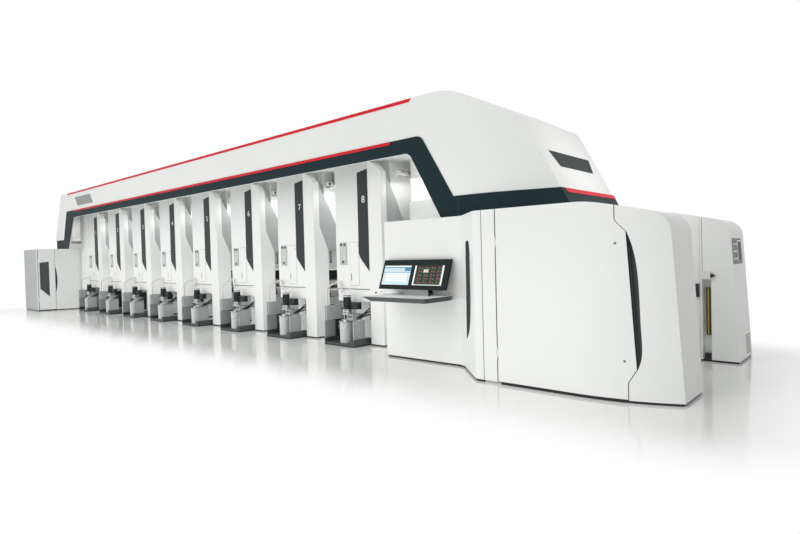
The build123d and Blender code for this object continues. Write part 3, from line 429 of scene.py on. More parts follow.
# Fittings that repeat along the row. One set is modelled at the first unit, and a node tree
# lays it out at each unit.
row = bpy.data.node_groups.new("row_of_units", "GeometryNodeTree")
row.interface.new_socket("Fitting", in_out="INPUT", socket_type="NodeSocketGeometry")
units_socket = row.interface.new_socket("Units", in_out="INPUT", socket_type="NodeSocketInt")
pitch_socket = row.interface.new_socket("Pitch", in_out="INPUT", socket_type="NodeSocketFloat")
finish_socket = row.interface.new_socket("Finish", in_out="INPUT", socket_type="NodeSocketMaterial")
row.interface.new_socket("Row", in_out="OUTPUT", socket_type="NodeSocketGeometry")
entry = row.nodes.new("NodeGroupInput")
leave = row.nodes.new("NodeGroupOutput")
line = row.nodes.new("GeometryNodeMeshLine")
step = row.nodes.new("ShaderNodeCombineXYZ")
copies = row.nodes.new("GeometryNodeInstanceOnPoints")
solid = row.nodes.new("GeometryNodeRealizeInstances")
coat = row.nodes.new("GeometryNodeSetMaterial")
row.links.new(entry.outputs["Units"], line.inputs["Count"])
row.links.new(entry.outputs["Pitch"], step.inputs["X"])
row.links.new(step.outputs[0], line.inputs["Offset"])
row.links.new(line.outputs["Mesh"], copies.inputs["Points"])
row.links.new(entry.outputs["Fitting"], copies.inputs["Instance"])
row.links.new(copies.outputs["Instances"], solid.inputs["Geometry"])
row.links.new(solid.outputs["Geometry"], coat.inputs["Geometry"])
row.links.new(entry.outputs["Finish"], coat.inputs["Material"])
row.links.new(coat.outputs["Geometry"], leave.inputs["Row"])


def finished_piece(name, data, material, body):
    """One finished piece of the press, from a mesh that is already in place."""
    data.name = name
    data.materials.clear()
    data.materials.append(material)
    made = bpy.data.objects.new(name, data)
    scene.collection.objects.link(made)
    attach(made, body)
    return made


def closed_mesh(name, shape):
    data = bpy.data.meshes.new(name)
    bmesh.ops.recalc_face_normals(shape, faces=shape.faces)
    shape.to_mesh(data)
    shape.free()
    return data


def single_piece(name, shape, material, body="frame"):
    return finished_piece(name, closed_mesh(name, shape), material, body)


def piece_in_row(name, shape, material, count=unit_count):
    """The same fitting at each unit, from the one that is modelled at the first unit."""
    carrier = bpy.data.objects.new(name + "_first", closed_mesh(name, shape))
    scene.collection.objects.link(carrier)
    modifier = carrier.modifiers.new("row", "NODES")
    modifier.node_group = row
    modifier[units_socket.identifier] = count
    modifier[pitch_socket.identifier] = unit_pitch
    modifier[finish_socket.identifier] = material
    ready = carrier.evaluated_get(bpy.context.evaluated_depsgraph_get())
    laid_out = bpy.data.meshes.new_from_object(ready)
    carrier.modifiers.clear()
    bpy.data.objects.remove(carrier)
    return finished_piece(name, laid_out, material, "frame")


def add_bar(shape, low, high, round_edge=0.0):
    """A box between two corners, with its edges rounded."""
    made = bmesh.ops.create_cube(shape, size=1.0)["verts"]
    bmesh.ops.scale(shape, vec=Vector(high) - Vector(low), verts=made)
    bmesh.ops.translate(shape, vec=(Vector(low) + Vector(high)) / 2, verts=made)
    if round_edge:
        edges = {joined for corner in made for joined in corner.link_edges}
        bmesh.ops.bevel(shape, geom=list(edges), offset=round_edge, segments=2, affect="EDGES", profile=0.5)


def add_disc(shape, centre, direction, radius, thickness, sides=20, chamfer=0.0):
    """A round boss on a surface: centre is the middle of its foot."""
    made = bmesh.ops.create_cone(
        shape, cap_ends=True, segments=sides, radius1=radius, radius2=radius - chamfer, depth=thickness
    )["verts"]
    turned = Vector(direction).to_track_quat("Z", "Y").to_matrix().to_4x4()
    moved = Matrix.Translation(Vector(centre) + Vector(direction).normalized() * thickness / 2)
    bmesh.ops.transform(shape, matrix=moved @ turned, verts=made)


to_front = (0, -1, 0)
to_top = (0, 0, 1)

# Number stripes. Satin dark sheet on each cover, with a white vinyl digit that says which
# unit it is.
digit_height = 0.19
digit_relief = 0.0008
digit_x = -0.125
digit_z = 2.79
digit_face = front_plane - 0.0072
weld = 1e-5
stripe_grey = sheet_material("stripe_grey", (0.034, 0.043, 0.045), 0.42, 0.55, tone_range=0.12, specular=0.2)
finish_nodes(stripe_grey, "number_stripes")
paper = sheet_material("digit_white", (0.85, 0.86, 0.86), 0.4, 0.5)
digits = bmesh.new()
for number in range(1, unit_count + 1):
    words = bpy.data.curves.new(f"digit_{number}", "FONT")
    words.body = str(number)
    words.size = digit_height
    words.extrude = digit_relief
    words.align_x = "CENTER"
    writer = bpy.data.objects.new(words.name, words)
    scene.collection.objects.link(writer)
    flat = bpy.data.meshes.new_from_object(writer.evaluated_get(bpy.context.evaluated_depsgraph_get()))
    bpy.data.objects.remove(writer)
    flat.transform(Matrix.Rotation(math.radians(90), 4, "X"))
    digit_seam = first_seam + (number - 1) * unit_pitch
    flat.transform(Matrix.Translation((digit_seam + digit_x, digit_face, digit_z)))
    digits.from_mesh(flat)
bmesh.ops.remove_doubles(digits, verts=digits.verts, dist=weld)
single_piece("unit_numbers", digits, paper)

# Cover fittings. A pale key plate with dark keys, screws and rows of white marks, the pull,
# seams and lock of the small service door, and the thin rail across the cover below them.
plate_grey = sheet_material("plate_grey", (0.5, 0.52, 0.51), 0.35, 0.5, tone_range=0.1)
finish_nodes(plate_grey, "button_plates")
plate_front = front_plane - 0.012


def add_key(shape, x, z, half_width, half_height, rise, round_edge=0.0):
    """A small key on the first unit's plate, with its middle at x from the seam."""
    middle = first_seam + x
    low = (middle - half_width, plate_front - rise, z - half_height)
    high = (middle + half_width, plate_front, z + half_height)
    add_bar(shape, low, high, round_edge)


keys = bmesh.new()
for x, z in ((-0.79, 1.985), (-0.69, 1.985), (-0.74, 1.635)):
    add_key(keys, x, z, half_width=0.026, half_height=0.021, rise=0.007, round_edge=0.003)
screw_x = first_seam - 0.74
for z in (1.72, 1.91):
    add_disc(keys, (screw_x, plate_front, z), to_front, radius=0.006, thickness=0.003, sides=12)
piece_in_row("plate_keys", keys, stripe_grey)
mark_rows = 6
lowest_mark = 1.70
mark_spacing = 0.043
marks = bmesh.new()
for level_index in range(mark_rows):
    for x in (-0.785, -0.735, -0.69):
        z = lowest_mark + level_index * mark_spacing
        add_key(marks, x, z, half_width=0.013, half_height=0.009, rise=0.002)
piece_in_row("plate_marks", marks, paper)


def add_cover_bar(shape, x, z, out, sunk, round_edge=0.0):
    """A bar on the first unit's cover, between two places from the seam and two heights."""
    low = (first_seam + x[0], front_plane - out, z[0])
    high = (first_seam + x[1], front_plane + sunk, z[1])
    add_bar(shape, low, high, round_edge)


slots = bmesh.new()
add_cover_bar(slots, (-0.522, -0.508), (1.26, 1.41), out=0.003, sunk=0.0, round_edge=0.0014)
piece_in_row("service_pulls", slots, stripe_grey)
rail_grey = sheet_material("rail_grey", (0.2, 0.215, 0.22), 0.35, 0.5, tone_range=0.1)
door_lock = (first_seam - 0.33, front_plane, 1.95)
rails = bmesh.new()
for x, z in (
    ((-0.548, -0.293), (2.027, 2.033)),
    ((-0.297, -0.292), (1.167, 2.027)),
    ((-0.548, -0.292), (1.162, 1.167)),
):
    add_cover_bar(rails, x, z, out=0.001, sunk=0.004)
add_disc(rails, door_lock, to_front, radius=0.011, thickness=0.004, sides=16, chamfer=0.001)
add_cover_bar(rails, (-0.94, -0.005), (1.086, 1.102), out=0.006, sunk=0.004, round_edge=0.002)
piece_in_row("cover_rails", rails, rail_grey)

# Print stations. Chromed gravure cylinder and rubber roller over a bare ink pan, ribbed liners behind them
# in dark sheet, which stands in for the shade in the station opening, a grey beam across, and a grey guard
# with a dark bar handle above.
roller_steel = sheet_material("roller_steel", (0.5, 0.5, 0.5), 0.14, 0.24, tone_size=6, metal=1.0)
pan_steel = sheet_material("pan_steel", (0.55, 0.56, 0.56), 0.28, 0.42, tone_size=4, metal=1.0)
finish_nodes(roller_steel, "print_rollers", "web_rollers")
finish_nodes(pan_steel, "ink_pans", "doctor_blades")
guard_face = 0.2812
guard_handle_dark = (0.045, 0.052, 0.055)
guard_grey = sheet_material("guard_grey", (0.56, 0.58, 0.58), 0.32, 0.48, tone_range=0.1)
tree, x, y, z = layers_of(guard_grey)
repaint(guard_grey, above(tree, from_seam(tree, x), guard_face), guard_handle_dark)
finish_nodes(guard_grey, "guard_doors")
pipe_black = sheet_material("pipe_black", (0.013, 0.014, 0.015), 0.4, 0.55, tone_range=0.3, specular=0.3)
station_near = front_plane + 0.382
station_far = front_plane + 1.418
liner_far = front_plane + 0.82
liner_face = first_seam + 0.012
liner_foot = 0.06
beam_low, beam_high = 1.05, 1.24
guard_foot = 1.478
# Painted shade: the liners are dark sheet that stands in for the shade in the station opening.
liner = bmesh.new()
add_bar(liner, (first_seam, station_near, liner_foot), (liner_face, liner_far, beam_low))
add_bar(liner, (first_seam, station_near, beam_high), (liner_face, station_far, guard_foot))
rib_face = first_seam + 0.02
rib_inset = 0.02
rib_half = 0.01
for z in (0.2, 0.32, 0.44, 0.56, 0.62):
    low = (liner_face, station_near + rib_inset, z - rib_half)
    high = (rib_face, liner_far - rib_inset, z + rib_half)
    add_bar(liner, low, high, round_edge=0.003)
piece_in_row("station_shade_sheets", liner, pipe_black)
beam_face = first_seam + 0.03
beam = bmesh.new()
add_bar(beam, (first_seam, station_near, beam_low), (beam_face, station_far, beam_high), round_edge=0.006)
piece_in_row("station_beams", beam, plate_grey)
rail_left, rail_right = first_seam + 0.25, first_seam + 0.292
rail_low, rail_high = 1.452, 1.479
rail = bmesh.new()
add_bar(rail, (rail_left, station_near, rail_low), (rail_right, station_far, rail_high), round_edge=0.004)
piece_in_row("guard_rails", rail, white_paint)

# Printed web. Clear white film that runs from unit to unit over guide rollers, printed with
# plain green and charcoal panels and thin register marks.
lane_pitch = 0.46
lane_panel = (0.07, 0.42)
lane_marks = (0.02, 0.045)
panel_pitch, panel_length = 0.29, 0.25
mark_pitch, mark_length = 0.05, 0.022
web_edge = front_plane + 0.44
print_charcoal, print_green, mark_grey = (0.035, 0.05, 0.045), (0.11, 0.28, 0.14), (0.16, 0.19, 0.17)
green_start, green_end, charcoal_full = 0.4, 0.47, 0.53
film = sheet_material("printed_film", (0.82, 0.84, 0.82), 0.2, 0.32)
tree, x, y, z = layers_of(film)
seam = from_seam(tree, x)
across = math_node(tree, "FLOORED_MODULO", math_node(tree, "SUBTRACT", y, web_edge), lane_pitch)
along = math_node(tree, "FLOORED_MODULO", seam, panel_pitch)
panel = both(tree, within(tree, along, 0.0, panel_length), within(tree, across, *lane_panel))
blotch = noise(tree, 7, 3)
repaint(film, both(tree, panel, ramp(tree, blotch, green_end, charcoal_full)), print_charcoal)
repaint(film, both(tree, panel, within(tree, blotch, green_start, green_end)), print_green)
line_mark = within(tree, math_node(tree, "FLOORED_MODULO", seam, mark_pitch), 0.0, mark_length)
repaint(film, both(tree, line_mark, within(tree, across, *lane_marks)), mark_grey)
finish_nodes(film, "printed_web")
cap_y = front_plane + 0.36
caps = bmesh.new()
for x, z in ((0.49, 3.33), (0.82, 3.42)):
    cap = (first_seam + x, cap_y, z)
    add_disc(caps, cap, to_front, radius=0.036, thickness=0.01, sides=24, chamfer=0.003)
piece_in_row("roller_caps", caps, stripe_grey, unit_count - 1)

# Ink carts. A dark base with its sill, a folded grey screen at the left and a lower pale panel at the right,
# in painted sheet, with a white tube handle. The lower screen darkens towards the bucket as painted shade,
# and the foot of the base has a painted black shadow line.
cart_left = -0.925
cart_front = front_plane - 0.4
screen_right = -0.85
screen_fold = 0.481
panel_left = -0.2
panel_foot = 0.141
base_top = 0.1405
foot_shadow_top = 0.022
corner_start, corner_end = front_plane - 0.17, front_plane - 0.11
screen_grey, panel_pale = (0.52, 0.55, 0.55), (0.36, 0.385, 0.385)
bucket_recess_shade, base_dark = (0.03, 0.034, 0.035), (0.062, 0.074, 0.077)
cart_grey = sheet_material(
    "cart_grey", (0.36, 0.39, 0.39), 0.4, 0.55, tone_range=0.25, tone_size=3, specular=0.35
)
tree, x, y, z = layers_of(cart_grey)
seam = from_seam(tree, x)
at_screen = under(tree, seam, screen_right)
repaint(cart_grey, both(tree, above(tree, z, screen_fold), at_screen), screen_grey)
at_panel = both(tree, above(tree, z, panel_foot), above(tree, seam, panel_left))
repaint(cart_grey, at_panel, panel_pale)
# Painted shade: the lower screen darkens towards its deep corner by the bucket.
deep_corner_shade = ramp(tree, y, corner_start, corner_end)
repaint(cart_grey, both(tree, deep_corner_shade, under(tree, z, screen_fold), at_screen), bucket_recess_shade)
repaint(cart_grey, under(tree, z, base_top), base_dark)
# Painted shadow: a black line along the foot of the base.
repaint(cart_grey, under(tree, z, foot_shadow_top), plinth_shadow_black)
finish_nodes(cart_grey, "cart_frames")
handle_white = sheet_material("handle_white", (0.72, 0.73, 0.72), 0.3, 0.4)
finish_nodes(handle_white, "cart_handles")

# Ink buckets. White enamel with a grey rolled rim at the lid, and a bright wire bail that
# hangs down in front.
bucket_x = first_seam + cart_left + 0.44
bucket_y = cart_front + 0.19
rim_low, rim_high = 0.459, 0.48
bucket_colour, rim_grey = (0.6, 0.625, 0.615), (0.42, 0.44, 0.44)
bucket_white = sheet_material("bucket_white", bucket_colour, 0.25, 0.38, tone_range=0.08, tone_size=5)
tree, x, y, z = layers_of(bucket_white)
repaint(bucket_white, within(tree, z, rim_low, rim_high), rim_grey)
finish_nodes(bucket_white, "ink_buckets")
bright_metal = sheet_material("bright_metal", (0.75, 0.76, 0.76), 0.15, 0.28, tone_size=8, metal=1.0)
bail_turns = 15
bail_radius = 0.15
bail_level = 0.44
bail_drop = 0.10
bail_gap = 0.002
wire_radius = 0.004
wire_overlap = 0.04
bails = bmesh.new()
for index in range(bail_turns):
    ends = []
    for end in (index, index + 1):
        angle = math.pi * end / bail_turns
        ends.append(Vector((
            bucket_x + bail_radius * math.cos(angle),
            bucket_y - bail_radius * math.sin(angle) - bail_gap,
            bail_level - bail_drop * math.sin(angle),
        )))
    along = ends[1] - ends[0]
    length = along.length * (1 + 2 * wire_overlap)
    add_disc(bails, ends[0] - along * wire_overlap, along, wire_radius, length, sides=8)
piece_in_row("bucket_bails", bails, bright_metal)

# Ink pumps. A black ribbed motor with a bright cap, a dark control box, bright flanged pipes
# below with small dark valves, and black formed pipes to the port plate of the unit.
pump_split = 0.7098
pipe_pale = (0.4, 0.415, 0.415)
pump_grey = sheet_material(
    "pump_grey", (0.016, 0.021, 0.022), 0.35, 0.5, tone_range=0.4, tone_size=9, specular=0.35
)
tree, x, y, z = layers_of(pump_grey)
repaint(pump_grey, under(tree, z, pump_split), pipe_pale)
finish_nodes(pump_grey, "ink_pumps")
finish_nodes(pipe_black, "ink_pipes")


def add_slab(shape, back, front):
    """A closed slab between two outlines that have the same number of corners."""
    back = [shape.verts.new(corner) for corner in back]
    front = [shape.verts.new(corner) for corner in front]
    shape.faces.new(back)
    shape.faces.new(front)
    for a in range(len(back)):
        b = (a + 1) % len(back)
        shape.faces.new((back[a], back[b], front[b], front[a]))


motor_x = bucket_x + 0.015
motor_y = bucket_y + 0.03
motor_ribs = 16
motor_rib_half = 0.003
motor_rib_foot, motor_rib_tip = 0.068, 0.077
motor_rib_low, motor_rib_high = 0.75, 0.94
ribs = bmesh.new()
for index in range(motor_ribs):
    angle = index * math.tau / motor_ribs
    arm = Vector((math.cos(angle), math.sin(angle), 0))
    side = Vector((-arm.y, arm.x, 0)) * motor_rib_half
    foot = Vector((motor_x, motor_y, 0)) + arm * motor_rib_foot
    tip = Vector((motor_x, motor_y, 0)) + arm * motor_rib_tip
    outline = [foot - side, foot + side, tip + side, tip - side]
    low, high = ([(c.x, c.y, z) for c in outline] for z in (motor_rib_low, motor_rib_high))
    add_slab(ribs, low, high)
piece_in_row("motor_ribs", ribs, pipe_black)

bright = bmesh.new()
motor_top = (motor_x, motor_y, 0.951)
add_disc(bright, motor_top, to_top, radius=0.081, thickness=0.033, sides=28, chamfer=0.006)
for x, y in ((-0.03, 0.0), (0.06, 0.0), (0.015, 0.09)):
    for z in (0.62, 0.66, 0.69):
        flange = (bucket_x + x, bucket_y + y, z)
        add_disc(bright, flange, to_top, radius=0.043, thickness=0.012, sides=20, chamfer=0.002)
for z, radius in ((0.476, 0.075), (0.488, 0.05)):
    add_disc(bright, (bucket_x, bucket_y, z), to_top, radius, thickness=0.012, sides=24, chamfer=0.003)
port_x, port_y, port_z = bucket_x + 0.26, bucket_y + 0.04, 0.545
port_step, port_rise = 0.06, 0.028
for index in range(3):
    port = (port_x, port_y + index * port_step, port_z + index * port_rise)
    add_disc(bright, port, (1, 0, 0), radius=0.024, thickness=0.022, sides=6, chamfer=0.002)
piece_in_row("pump_flanges", bright, bright_metal)

valve_x = bucket_x - 0.02
valve_y = bucket_y - 0.06
dark_bits = bmesh.new()
for z in (0.535, 0.58):
    valve = (valve_x, valve_y, z)
    add_disc(dark_bits, valve, to_front, radius=0.018, thickness=0.03, sides=12, chamfer=0.002)
lever_low = (bucket_x + 0.06, bucket_y - 0.09, 0.525)
lever_high = (bucket_x + 0.075, valve_y, 0.60)
add_bar(dark_bits, lever_low, lever_high, round_edge=0.003)
pull_low = (bucket_x + 0.14, bucket_y - 0.095, 0.565)
pull_high = (bucket_x + 0.24, valve_y, 0.58)
add_bar(dark_bits, pull_low, pull_high, round_edge=0.003)
piece_in_row("pump_valves", dark_bits, pipe_black)

# Header and hoods. White sheet drying header over the row, with a hood at each end, a satin
# dark blue-grey band along its lower edge and red trim stripes.
band_blue = sheet_material("band_blue", (0.012, 0.028, 0.034), 0.45, 0.58, tone_range=0.15, specular=0.1)
stripe_red = sheet_material("stripe_red", (0.68, 0.010, 0.022), 0.4, 0.5, tone_range=0.08, specular=0.2)
finish_nodes(white_paint, "header_shell", "left_hood", "right_hood")
finish_nodes(band_blue, "header_band", "hood_band")
finish_nodes(stripe_red, "header_stripes")

# Bare label plates. A pale one at the left of the header, and a dark one on the end of the
# hood at the right.
label_grey = sheet_material("label_grey", (0.018, 0.024, 0.026), 0.4, 0.55, tone_range=0.15, specular=0.12)
tree, x, y, z = layers_of(label_grey)
label_pale = (0.32, 0.345, 0.345)
repaint(label_grey, under(tree, x, 0.0), label_pale)
finish_nodes(label_grey, "label_plates")

# Unwinder. White housing with a hinged door in its slanted face and a tinted pane in the door. The faces
# behind the door and in the long grip are painted dark as painted shade, and its narrow front sheet is
# painted grey as painted shade.
unwind_corner = (last_seam - 16.35, front_plane - 1.35)
unwind_run = (0.35898, 0.93335)
unwind_door_along = (0.02, 0.67)
unwind_door_deep = (0.003, 0.72)
faces_front = -0.99
front_sheet_depth = 0.01
unwind_face_shade = (0.43, 0.46, 0.46)


def from_corner(tree, x, y, corner, run):
    """How far a point lies along an upright face from its corner, and how far behind the face."""
    off_x = math_node(tree, "SUBTRACT", x, corner[0])
    off_y = math_node(tree, "SUBTRACT", y, corner[1])
    places = []
    for share_x, share_y in (run, (-run[1], run[0])):
        part_x = math_node(tree, "MULTIPLY", off_x, share_x)
        part_y = math_node(tree, "MULTIPLY", off_y, share_y)
        places.append(math_node(tree, "ADD", part_x, part_y))
    return places


def behind_unwind_face(tree, x, y, z):
    along, deep = from_corner(tree, x, y, unwind_corner, unwind_run)
    return both(tree, within(tree, along, *unwind_door_along), within(tree, deep, *unwind_door_deep))


unwinder_paint = housing_paint("unwinder_paint", behind_unwind_face)
tree, x, y, z = layers_of(unwinder_paint)
# Painted shade: the narrow front sheet of the unwinder is painted grey.
at_front = under(tree, y, unwind_corner[1] + front_sheet_depth)
front_sheet = both(tree, under(tree, facing(tree, "Y"), faces_front), at_front)
repaint(unwinder_paint, both(tree, front_sheet, above(tree, z, plinth_shadow_top)), unwind_face_shade)
finish_nodes(unwinder_paint, "unwind_housing", "unwind_door")
finish_nodes(sheet_material("dark_pane", (0.05, 0.064, 0.067), 0.12, 0.2, specular=0.4), "unwind_window")
finish_nodes(white_paint, "infeed_column", "outfeed_cabinet")

# Console. White cabinet with a shelf desk, dark at its bevelled edge and white on top, and a
# leaning black display housing on a white foot.
desk_top_facing = 0.7
display_foot_y = -1.47
finish_nodes(white_paint, "console_housing")
desk_grey = sheet_material("desk_grey", (0.075, 0.09, 0.094), 0.4, 0.5, specular=0.3)
tree = desk_grey.node_tree
repaint(desk_grey, above(tree, facing(tree, "Z"), desk_top_facing), white_colour)
finish_nodes(desk_grey, "console_desk")
display_black = sheet_material("display_black", (0.012, 0.018, 0.019), 0.4, 0.5, specular=0.12)
tree, x, y, z = layers_of(display_black)
upright = under(tree, facing(tree, "Y"), faces_front)
repaint(display_black, both(tree, upright, above(tree, y, display_foot_y)), white_colour)
finish_nodes(display_black, "console_display")

# Display screens. Two glowing panes set in the leaning front: a pale one with blue title bars
# and a dark one with rows of red and green fields.
display_left = last_seam + 1.130
display_width = 1.39
display_low = 1.190
display_rise = 0.475
display_low_y = front_plane - 0.92
display_lean = 0.175
screen_skin = 0.0015
screen_glow = 0.2
screen_foot, screen_head = 0.15, 0.80


def on_display(u, v, out=0.0):
    """A point of the display's front, by its share of the width and height, and a distance out."""
    slope = Vector((0, display_lean, display_rise)).normalized()
    outward = Vector((0, -slope.z, slope.y))
    foot = Vector((display_left + u * display_width, display_low_y, display_low))
    return foot + Vector((0, display_lean, display_rise)) * v + outward * out


def screen_pane(left, right):
    """A thin pane between two shares of the display's width."""
    shape = bmesh.new()
    corners = [(left, screen_foot), (right, screen_foot), (right, screen_head), (left, screen_head)]
    back, front = ([on_display(u, v, out) for u, v in corners] for out in (0.0, screen_skin))
    add_slab(shape, back, front)
    return shape


def screen_material(name, colour):
    """A lit screen. Returns it with the places across and up the display front."""
    material = sheet_material(name, colour, 0.1, 0.16, tone_range=0.02, specular=0.2)
    tree = material.node_tree
    shader = tree.nodes["Principled BSDF"]
    shader.inputs["Emission Strength"].default_value = screen_glow
    x, y, z = position(tree)
    u = math_node(tree, "DIVIDE", math_node(tree, "SUBTRACT", x, display_left), display_width)
    v = math_node(tree, "DIVIDE", math_node(tree, "SUBTRACT", z, display_low), display_rise)
    return material, tree, u, v


def fill_areas(material, across, up, areas, inside=1.0):
    """Colours areas of a screen, each between two limits across and two limits up."""
    tree = material.node_tree
    for (left, right), (low, high), colour in areas:
        area = both(tree, within(tree, across, left, right), within(tree, up, low, high), inside)
        repaint(material, area, colour)


def light_up(material):
    tree = material.node_tree
    tree.links.new(tree.nodes["tone"].outputs[0], tree.nodes["Principled BSDF"].inputs["Emission Color"])


full = (0.0, 1.0)
office, tree, u, v = screen_material("screen_left", (0.56, 0.66, 0.70))
fill_areas(office, u, v, (
    (full, (0.765, 1.0), (0.85, 0.88, 0.9)),
    (full, (0.72, 0.755), (0.10, 0.30, 0.44)),
    ((0.36, 1.0), (0.62, 0.72), (0.07, 0.24, 0.42)),
    (full, (0.56, 0.585), (0.18, 0.38, 0.60)),
    ((0.075, 0.41), (0.27, 0.55), (0.80, 0.82, 0.80)),
    ((0.05, 1.0), (0.16, 0.255), (0.55, 0.72, 0.82)),
))
text_pitch, text_line = 0.055, 0.012
text_row = under(tree, math_node(tree, "FLOORED_MODULO", v, text_pitch), text_line)
fill_areas(office, u, v, (((0.09, 0.38), (0.3, 0.54), (0.50, 0.60, 0.66)),), text_row)
light_up(office)
single_piece("screen_left", screen_pane(0.03, 0.456), office)

fields, tree, u, v = screen_material("screen_right", (0.018, 0.03, 0.022))
grid_left, grid_right = 0.54, 0.915
grid_low, grid_high = 0.19, 0.78
cell_u = (grid_right - grid_left) / 4
cell_v = (grid_high - grid_low) / 5
in_u = math_node(tree, "FLOORED_MODULO", math_node(tree, "SUBTRACT", u, grid_left), cell_u)
in_v = math_node(tree, "FLOORED_MODULO", math_node(tree, "SUBTRACT", v, grid_low), cell_v)
grid = both(tree, within(tree, u, grid_left, grid_right), within(tree, v, grid_low, grid_high))
cell_across = math_node(tree, "DIVIDE", in_u, cell_u)
cell_up = math_node(tree, "DIVIDE", in_v, cell_v)
fill_areas(fields, cell_across, cell_up, (
    ((0.22, 0.7), (0.28, 0.85), (0.14, 0.03, 0.045)),
    ((0.38, 0.56), (0.45, 0.65), (0.42, 0.12, 0.14)),
    ((0.05, 0.95), (0.05, 0.16), (0.04, 0.14, 0.07)),
    ((0.8, 0.97), (0.3, 0.6), (0.08, 0.28, 0.14)),
), grid)
fill_areas(fields, u, v, (
    ((0.648, 0.72), (0.57, 0.67), (0.62, 0.56, 0.54)),
    ((0.0, 0.535), full, (0.85, 0.86, 0.86)),
    ((grid_right, 1.0), full, (0.85, 0.86, 0.86)),
    (full, (0.0, 0.175), (0.80, 0.80, 0.76)),
))
light_up(fields)
single_piece("screen_right", screen_pane(0.513, 0.937), fields)

# Console knobs. A black knob on the desk, a black latch under its end, a key lock in the cabinet
# front and a round cap on its top, and two small push buttons on the last column beside it.
desk_top = 1.10
knob_x, knob_y = last_seam + 2.25, front_plane - 0.95
console_face = front_plane - 0.65
knobs = bmesh.new()
for z, radius, thickness, sides, chamfer in (
    (desk_top, 0.026, 0.01, 20, 0.006),
    (desk_top + 0.01, 0.012, 0.018, 16, 0.0),
    (desk_top + 0.028, 0.022, 0.018, 20, 0.005),
):
    add_disc(knobs, (knob_x, knob_y, z), to_top, radius, thickness, sides, chamfer)
latch_low = (last_seam + 2.40, console_face - 0.09, 1.025)
latch_high = (last_seam + 2.47, console_face - 0.02, 1.05)
add_bar(knobs, latch_low, latch_high, round_edge=0.006)
single_piece("console_knobs", knobs, pipe_black)
button_red = sheet_material("button_red", (0.16, 0.012, 0.016), 0.3, 0.4)
red_button = (last_seam + 0.162, front_plane, 1.038)
buttons = bmesh.new()
add_disc(buttons, red_button, to_front, radius=0.02, thickness=0.014, sides=20, chamfer=0.004)
single_piece("column_button", buttons, button_red)
grey_button = (last_seam + 0.30, front_plane, 1.055)
roof_cap = (last_seam + 1.895, front_plane - 0.60, 2.32)
key_lock = (last_seam + 2.635, console_face, 1.155)
rim = bmesh.new()
add_disc(rim, grey_button, to_front, radius=0.024, thickness=0.006, sides=20, chamfer=0.002)
add_disc(rim, roof_cap, to_top, radius=0.02, thickness=0.016, sides=16, chamfer=0.004)
add_disc(rim, key_lock, to_front, radius=0.013, thickness=0.006, sides=16, chamfer=0.002)
single_piece("console_buttons", rim, plate_grey)

# Corner panel. A swept white sheet corner between the console and the rewinder, with a long
# grip recess painted dark as painted shade.
sweep_corner = (last_seam + 2.66, front_plane - 0.65)
sweep_run = (0.7125, -0.7017)
grip_along = (0.25, 0.67)
grip_deep = (0.003, 0.06)
grip_level = (0.45, 1.93)
grip_shade_dark = (0.085, 0.1, 0.1)
corner_paint = housing_paint("corner_paint")
tree, x, y, z = layers_of(corner_paint)
along, deep = from_corner(tree, x, y, sweep_corner, sweep_run)
in_grip = both(tree, within(tree, along, *grip_along), within(tree, deep, *grip_deep))
in_grip = both(tree, in_grip, within(tree, z, *grip_level))
# Painted shade: the grip recess is painted dark.
repaint(corner_paint, in_grip, grip_shade_dark)
finish_nodes(corner_paint, "corner_panel")

# Rewinder. Bowed white housing whose door closes flush, with a grip beside its free edge. The faces behind
# the door and in the grip are painted dark as painted shade, a lighter grey in the hinge gap. Two small key
# locks hold the door, and a seal stands at the hinge post.
bow_run, bow_rise = 1.13, 0.275
bow_radius = (bow_run**2 + bow_rise**2) / (2 * bow_rise)
bow_x = last_seam + 4.75
winder_face = front_plane - 1.3
bow_y = winder_face + bow_radius
bow_skin = 0.004
chamber_back = front_plane - 0.30
chamber_right = 11.5
hinge_gap_right = last_seam + 3.71
hinge_gap_shade = (0.42, 0.43, 0.42)


def behind_bow(tree, x, y, z):
    across = math_node(tree, "MAXIMUM", math_node(tree, "SUBTRACT", x, bow_x), 0.0)
    deep = math_node(tree, "SUBTRACT", y, bow_y)
    across_squared = math_node(tree, "MULTIPLY", across, across)
    deep_squared = math_node(tree, "MULTIPLY", deep, deep)
    reach = math_node(tree, "SQRT", math_node(tree, "ADD", across_squared, deep_squared))
    behind = under(tree, reach, bow_radius - bow_skin)
    return both(tree, behind, under(tree, y, chamber_back), under(tree, x, chamber_right))


rewinder_paint = housing_paint("rewinder_paint", behind_bow)
tree, x, y, z = layers_of(rewinder_paint)
# Painted shade: the hinge gap is painted a lighter grey than the rest behind the door.
hinge_gap = both(tree, behind_bow(tree, x, y, z), under(tree, x, hinge_gap_right))
repaint(rewinder_paint, hinge_gap, hinge_gap_shade)
finish_nodes(rewinder_paint, "winder_housing", "winder_door")
lock_seat = 0.002
locks = bmesh.new()
for x, z in ((5.225, 1.816), (5.305, 0.474)):
    across = last_seam + x - bow_x
    outward = Vector((across, -math.sqrt(bow_radius**2 - across**2), 0)).normalized()
    foot = Vector((bow_x, bow_y, z)) + outward * (bow_radius - lock_seat)
    add_disc(locks, foot, outward, radius=0.016, thickness=0.005, sides=20, chamfer=0.001)
single_piece("door_locks", locks, rail_grey, "winder_door")
seal_low = (last_seam + 3.447, winder_face - 0.0006, 0.032)
seal_high = (last_seam + 3.459, winder_face + 0.004, 2.318)
seals = bmesh.new()
add_bar(seals, seal_low, seal_high)
single_piece("post_seal", seals, rail_grey)

